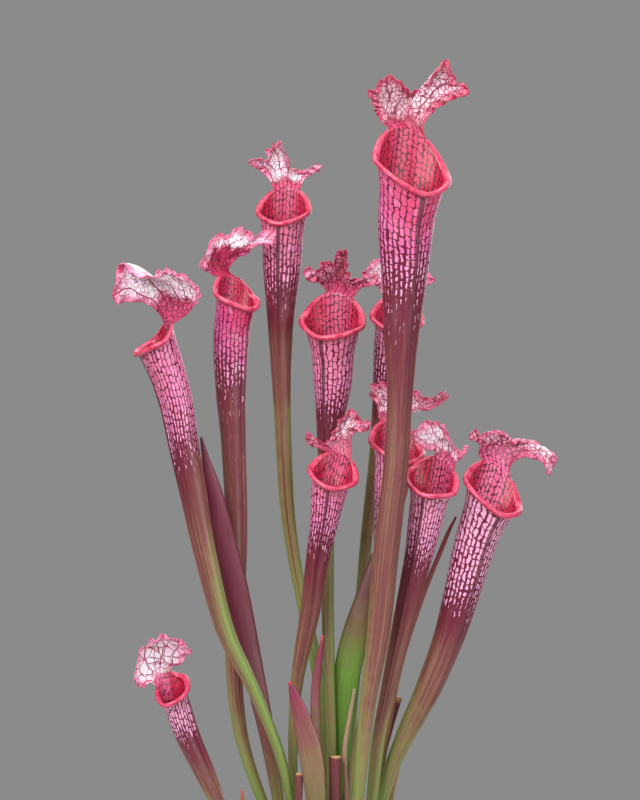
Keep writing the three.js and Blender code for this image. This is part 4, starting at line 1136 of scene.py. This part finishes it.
def net(look, skin, length=1.0, straight=0.28):
    """The net of windows: how far a point is from the veins (0 on a vein, 1 in the middle of a window),
    and a random number for each window. Files are the whole numbers of skin's x; cross veins lie at
    random heights in each file."""
    file_place, up_file, _ = look.parts(look.warped(look.warped(skin, 0.8, 1.0), 2.2, 0.4))
    pitcher_number = look.math("ROUND", look.parts(skin)[2])
    shift = look.chance(file_place.whole(), 0.5, pitcher_number)
    pace = (shift + 1.5) * (0.5 / length)
    height = up_file * pace + shift * 9.0
    wide = abs(file_place.fraction() - 0.5) * 2.0
    # Along a file only beyond the window's straight part, so that both kinds of vein are as wide
    tall = (abs(height.fraction() - 0.5) - straight) * (1 / (0.5 - straight))
    far = (wide ** 3.0 + look.largest(tall, 0.0) ** 3.0) ** (1 / 3)
    return 1.0 - far, look.chance(file_place.whole(), height.whole(), pitcher_number)


def throat_net(look, skin):
    """Veins of the throat's closer net, and a random number for each of its windows."""
    inside, chance = net(look, skin, 0.5, 0.08)
    return inside.band(0.24, 0.1), chance


def files_from_neck(look, skin):
    return abs(look.parts(skin)[0] - NET_FILES / 2)


def stalk_colour(look, skin, zone, from_neck, uneven, lines):
    """Green foot, then brown and maroon, with dark streaks, pale lines and broad stripes along it."""
    # Redder towards the keel, greener towards the back
    share = (zone + uneven + from_neck.band(4.0, 13.5, -0.5, 0.6)) * 0.2
    ground = look.ramp(share, [(0.0, GREEN), (0.14, GREEN), (0.24, OLIVE), (0.36, BROWN), (0.52, BROWN),
                               (0.64, MAROON), (0.86, VEIN), (1.0, VEIN)])
    ground = look.mix(lines.band(0.52, 0.7, 0.0, 0.5), ground, STREAK)
    ground = look.mix(lines.band(0.47, 0.3) * zone.band(3.6, 2.6, 0.0, 0.5), ground, PALE_LINE)
    broad = look.noise(look.scaled(skin, (0.9, 0.025, 1.0)), detail=1.0)
    return look.mix(broad.band(0.52, 0.62) * zone.band(3.0, 1.6, 0.0, 0.6), ground, STRIPE)


def window_colour(look, zone, from_neck, uneven, lines, light, chance):
    """Lilac windows low down, pink and crimson ones towards the mouth."""
    fill = look.ramp((zone + uneven).band(3.1, 5.0),
                     [(0.0, WINDOW_LOW), (0.4, WINDOW_MIDDLE), (1.0, WINDOW_HIGH)])
    fill = look.mix(from_neck.band(13.0, 7.5, 0.0, 0.5), fill, WINDOW_MIDDLE)
    fill = look.mix(light * 0.75, fill, WINDOW_PALE)
    fill = look.mix(chance.band(0.6, 1.0, 0.0, 0.25), fill, WINDOW_BRIGHT)
    return look.mix(lines.band(0.5, 0.66, 0.0, 0.3), fill, WINDOW_LINE)


def tube_look():
    look = Look("pitcher_skin", roughness=0.36, subsurface_weight=0.12, subsurface_scale=0.003)
    skin = look.attribute("skin", "Vector")
    zone = look.attribute("zone")
    light = look.attribute("light")
    from_neck = files_from_neck(look, skin)
    inside, chance = net(look, skin)
    lines = look.noise(look.scaled(skin, (2.4, 0.1, 1.0)), detail=4.0, rough=0.62)
    mottle = look.noise(look.scaled(skin, (0.25, 0.5, 1.0)))
    uneven = (mottle - 0.5) * 0.9
    ground = stalk_colour(look, skin, zone, from_neck, uneven, lines)
    fill = window_colour(look, zone, from_neck, uneven, lines, light, chance)
    # A window shows where it is far enough inside its cell; at the foot of the net only some do
    limit = zone.band(2.5, 4.4, 0.92, 0.24) + zone.band(4.0, 4.9, 0.0, -0.12) + light * 0.14
    chosen = chance * zone.band(3.0, 4.3, 0.55, 0.0)
    window = (inside - (limit + chosen)).band(0.0, 0.1)
    keel = look.attribute("keel").band(0.15, 0.5) * zone.band(1.2, 3.2, 0.5, 0.85)
    rib = from_neck.band(0.4, 0.2) * zone.band(2.5, 4.0, 0.0, 0.75)
    colour = look.mix(window, ground, fill)
    colour = look.mix(keel, colour, look.mix(zone.band(1.2, 3.2), KEEL_LOW, KEEL_HIGH))
    colour = look.mix(rib, colour, RIB)
    return look.finish(colour, mottle.band(0.3, 0.7, 0.32, 0.46), [(lines, 0.3), (window, 0.25)])


def throat_fill(look, skin, chance):
    """Crimson windows, darkened further down the throat as painted shade, and paler up the middle of the
    back, where the throat runs on into the lid.
    """
    zone = look.attribute("zone")
    # The dark first stop of the ramp is painted shade further down inside the tube
    fill = look.ramp(zone.band(3.6, 4.95), [(0.0, THROAT_PAINTED_SHADE), (0.6, CRIMSON), (1.0, THROAT)])
    fill = look.mix(chance * 0.3, fill, THROAT_BRIGHT)
    column = files_from_neck(look, skin).band(4.5, 2.0) * zone.band(4.3, 4.9)
    return look.mix(column * (look.attribute("light") * 0.6 + 0.2), fill, THROAT_PALE)


def throat_look():
    look = Look("pitcher_throat", roughness=0.32, subsurface_weight=0.15, subsurface_scale=0.003)
    skin = look.attribute("skin", "Vector")
    vein, chance = throat_net(look, skin)
    colour = look.mix(vein, throat_fill(look, skin, chance), VEIN_IN_THROAT)
    return look.finish(colour, bump=[(vein, 0.25)])


def lip_look():
    look = Look("pitcher_lip", roughness=0.26, subsurface_weight=0.15, subsurface_scale=0.003,
                coat_weight=0.3, coat_roughness=0.2)
    place = look.place()
    tone = look.noise(place, 0.16, detail=2.0)
    fine = look.noise(place, 0.9, detail=2.0)
    colour = look.mix(tone.band(0.35, 0.68), LIP, LIP_PALE)
    colour = look.mix(fine.band(0.56, 0.78, 0.0, 0.2), colour, LIP_SPECK)
    return look.finish(colour, tone.band(0.3, 0.7, 0.22, 0.36), [(fine, 0.1)])


def lid_veins(look, skin, place, pale, height):
    """Main veins carry on up from the tube and fan out; a finer net and hair-thin veins lie between."""
    files = look.parts(look.warped(look.scaled(skin, (1.0, 0.5, 1.0)), 0.7, 0.9))[0]
    from_vein = 0.5 - abs(files.fraction() - 0.5)
    main = (from_vein - height.band(0.0, 0.9, 0.06, 0.015)).band(0.04, 0.0)
    moved = look.vector_math("SCALE", look.warped(place, 0.14, 3.0), scale=look.attribute("net_scale"))
    # Veins are finer where the lid is white
    small_edge = look.cells(look.scaled(moved, (0.32, 0.32, 0.25)), random=0.9)
    small = (small_edge + pale.band(0.6, 1.0, 0.0, 0.035)).band(0.12, 0.045)
    hair_edge = look.cells(look.scaled(moved, (0.66, 0.66, 0.6)))
    hair = hair_edge.band(0.08, 0.03) * pale.band(0.2, 0.9, 0.6, 0.05)
    return look.largest(main, small, hair)


def lid_look(name, vein_strength):
    look = Look(name, roughness=0.42, subsurface_weight=0.2, subsurface_scale=0.003)
    skin = look.attribute("skin", "Vector")
    place = look.place()
    pale = look.attribute("pale")
    rim_pale = look.attribute("rim")
    height = look.attribute("height")
    # The throat's windows run on up the lid's foot
    low_vein, chance = throat_net(look, skin)
    high_vein = lid_veins(look, skin, place, pale, height) * height.band(0.05, 0.25)
    vein = look.largest(low_vein * height.band(0.1, 0.32, 1.0, 0.0), high_vein)
    white = look.mix(look.noise(place, 0.13, detail=2.0).band(0.45, 0.75), LID_WHITE, LID_BLUSH)
    fill = look.mix(pale, throat_fill(look, skin, chance), white)
    # The margin is redder, with a ragged inner edge that follows the crimps
    ragged = look.noise(place, 0.3, detail=2.0) * -5.0
    edge = look.attribute("edge") + ragged + look.attribute("crimp") * 1.2
    margin = (edge * (rim_pale * 0.45 + 0.55)).band(5.5, -1.0) * height.band(0.15, 0.45)
    fill = look.mix(margin * 0.8, fill, look.mix(rim_pale, CRIMSON, LID_PINK))
    vein_colour = look.mix(margin * pale, look.mix(pale, VEIN, VEIN_ON_WHITE), VEIN_IN_MARGIN)
    colour = look.mix(vein * vein_strength, fill, vein_colour)
    outermost = edge.band(-0.6, -2.4) * rim_pale.band(0.0, 1.0, 0.8, 0.35)
    return look.finish(look.mix(outermost, colour, LID_RIM), bump=[(vein, 0.3)])


def blade_look(name, stops, streak, amount, roughness):
    """A leaf with colours from foot to tip, fine lines along it, a darker edge and a few spots."""
    look = Look(name, roughness=roughness, subsurface_weight=0.08, subsurface_scale=0.002)
    blade = look.attribute("blade", "Vector")
    lines = look.noise(look.scaled(blade, (1.1, 1.1, 0.035)), detail=4.0, rough=0.6)
    mottle = look.noise(look.scaled(blade, (0.12, 0.12, 0.05)))
    colour = look.ramp(look.attribute("along") + (mottle - 0.5) * 0.25, stops)
    colour = look.mix(lines.band(0.48, 0.7, 0.0, amount), colour, streak)
    rim = abs(look.attribute("across"))
    colour = look.mix(rim.band(0.9, 0.99, 0.0, 0.55), colour, streak)
    spots = look.cells(look.scaled(blade, (0.5, 0.5, 0.2)), feature="F1")
    colour = look.mix(spots.band(0.16, 0.06, 0.0, 0.35), colour, LEAF_SPOT)
    rough = mottle.band(0.3, 0.7, roughness - 0.06, roughness + 0.1)
    return look.finish(colour, rough, [(lines, 0.3), (mottle, 0.3)])


def peat_look():
    look = Look("peat", roughness=0.95)
    place = look.place()
    coarse = look.noise(place, 0.22, detail=6.0, rough=0.7)
    fibre = look.noise(look.scaled(place, (0.35, 0.35, 1.6)), detail=4.0, rough=0.65)
    colour = look.mix(fibre.band(0.56, 0.7, 0.0, 0.5), look.ramp(coarse, PEAT_STOPS), PEAT_FIBRE)
    return look.finish(colour, coarse.band(0.3, 0.7, 0.82, 1.0), [(coarse, 1.2), (fibre, 0.6)], 0.8)


def grain_look(name, colours, scale, roughness):
    """Uneven two-colour look for perlite, roots, wood and the floor."""
    look = Look(name, roughness=roughness)
    tone = look.noise(look.place(), scale, detail=5.0, rough=0.65)
    colour = look.mix(tone.band(0.35, 0.68), *colours)
    return look.finish(colour, tone.band(0.3, 0.7, roughness - 0.1, roughness), [(tone, 0.5)], 0.6)


# Stage, lights and camera

def stage():
    bpy.ops.mesh.primitive_circle_add(radius=FLOOR_RADIUS, vertices=FLOOR_SIDES, fill_type="NGON")
    floor = bpy.context.object
    floor.name = "stage_floor"
    floor.data.materials.append(grain_look("floor", FLOOR_COLOURS, 0.004, 0.8))


def area_light(name, location, target, size, power, colour):
    light = bpy.data.lights.new(name, "AREA")
    light.shape = "RECTANGLE"
    light.size, light.size_y = size
    light.energy = power
    light.color = colour
    thing = bpy.data.objects.new(name, light)
    thing.location = location
    x, y, z = np.array(target) - np.array(location)
    thing.rotation_euler = (math.atan2(math.hypot(x, y), -z), 0, math.atan2(-x, y))
    bpy.context.scene.collection.objects.link(thing)


def world():
    studio = bpy.data.worlds.new("studio")
    studio.use_nodes = True
    colour, strength = studio.node_tree.nodes["Background"].inputs[:2]
    colour.default_value = BACKGROUND
    strength.default_value = BACKGROUND_STRENGTH
    bpy.context.scene.world = studio
    bpy.context.scene.view_settings.view_transform = "Standard"


def camera():
    lens = bpy.data.cameras.new("camera")
    lens.sensor_fit = "VERTICAL"
    lens.sensor_height = CAMERA_SENSOR_HEIGHT
    lens.lens = CAMERA_LENS
    thing = bpy.data.objects.new("camera", lens)
    thing.location = CAMERA_PLACE
    thing.rotation_euler = (math.pi / 2, 0, 0)
    bpy.context.scene.collection.objects.link(thing)
    bpy.context.scene.camera = thing


def add(piece, slot, *nodes):
    """Sets the body that a piece rides and hides the CAD nodes that it replaces. Its slot is not used."""
    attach(piece, "root")
    if nodes:
        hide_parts(*nodes)


pitcher_looks = [
    tube_look(), throat_look(), lip_look(),
    lid_look("lid_face", vein_strength=0.95), lid_look("lid_back", vein_strength=0.75),
]
leaf_looks = {slot: blade_look(slot, *values) for slot, values in LEAF_LOOKS.items()}
for seed, (name, pitcher) in enumerate(PITCHERS.items()):
    add(pitcher_piece(name, pitcher, seed, pitcher_looks), "pitcher", name)
for name, leaf in SOLID_LEAVES.items():
    add(leaf_piece(name, leaf, [leaf_looks[leaf["slot"]]]), leaf["slot"], name)
add(root_ball_piece([peat_look()]), "growing_medium", "root_ball")
add(roots_piece([grain_look("root_skin", ROOT_COLOURS, 0.3, 0.8)]), "growing_medium")
add(perlite_piece([grain_look("perlite_grain", PERLITE_COLOURS, 0.5, 0.9)]), "growing_medium")
add(rhizome_piece([grain_look("rhizome_bark", BARK_COLOURS, 0.35, 0.85)]), "rhizome", "rhizome")
stage()
for name, settings in LIGHTS.items():
    area_light(name, *settings)
world()
camera()
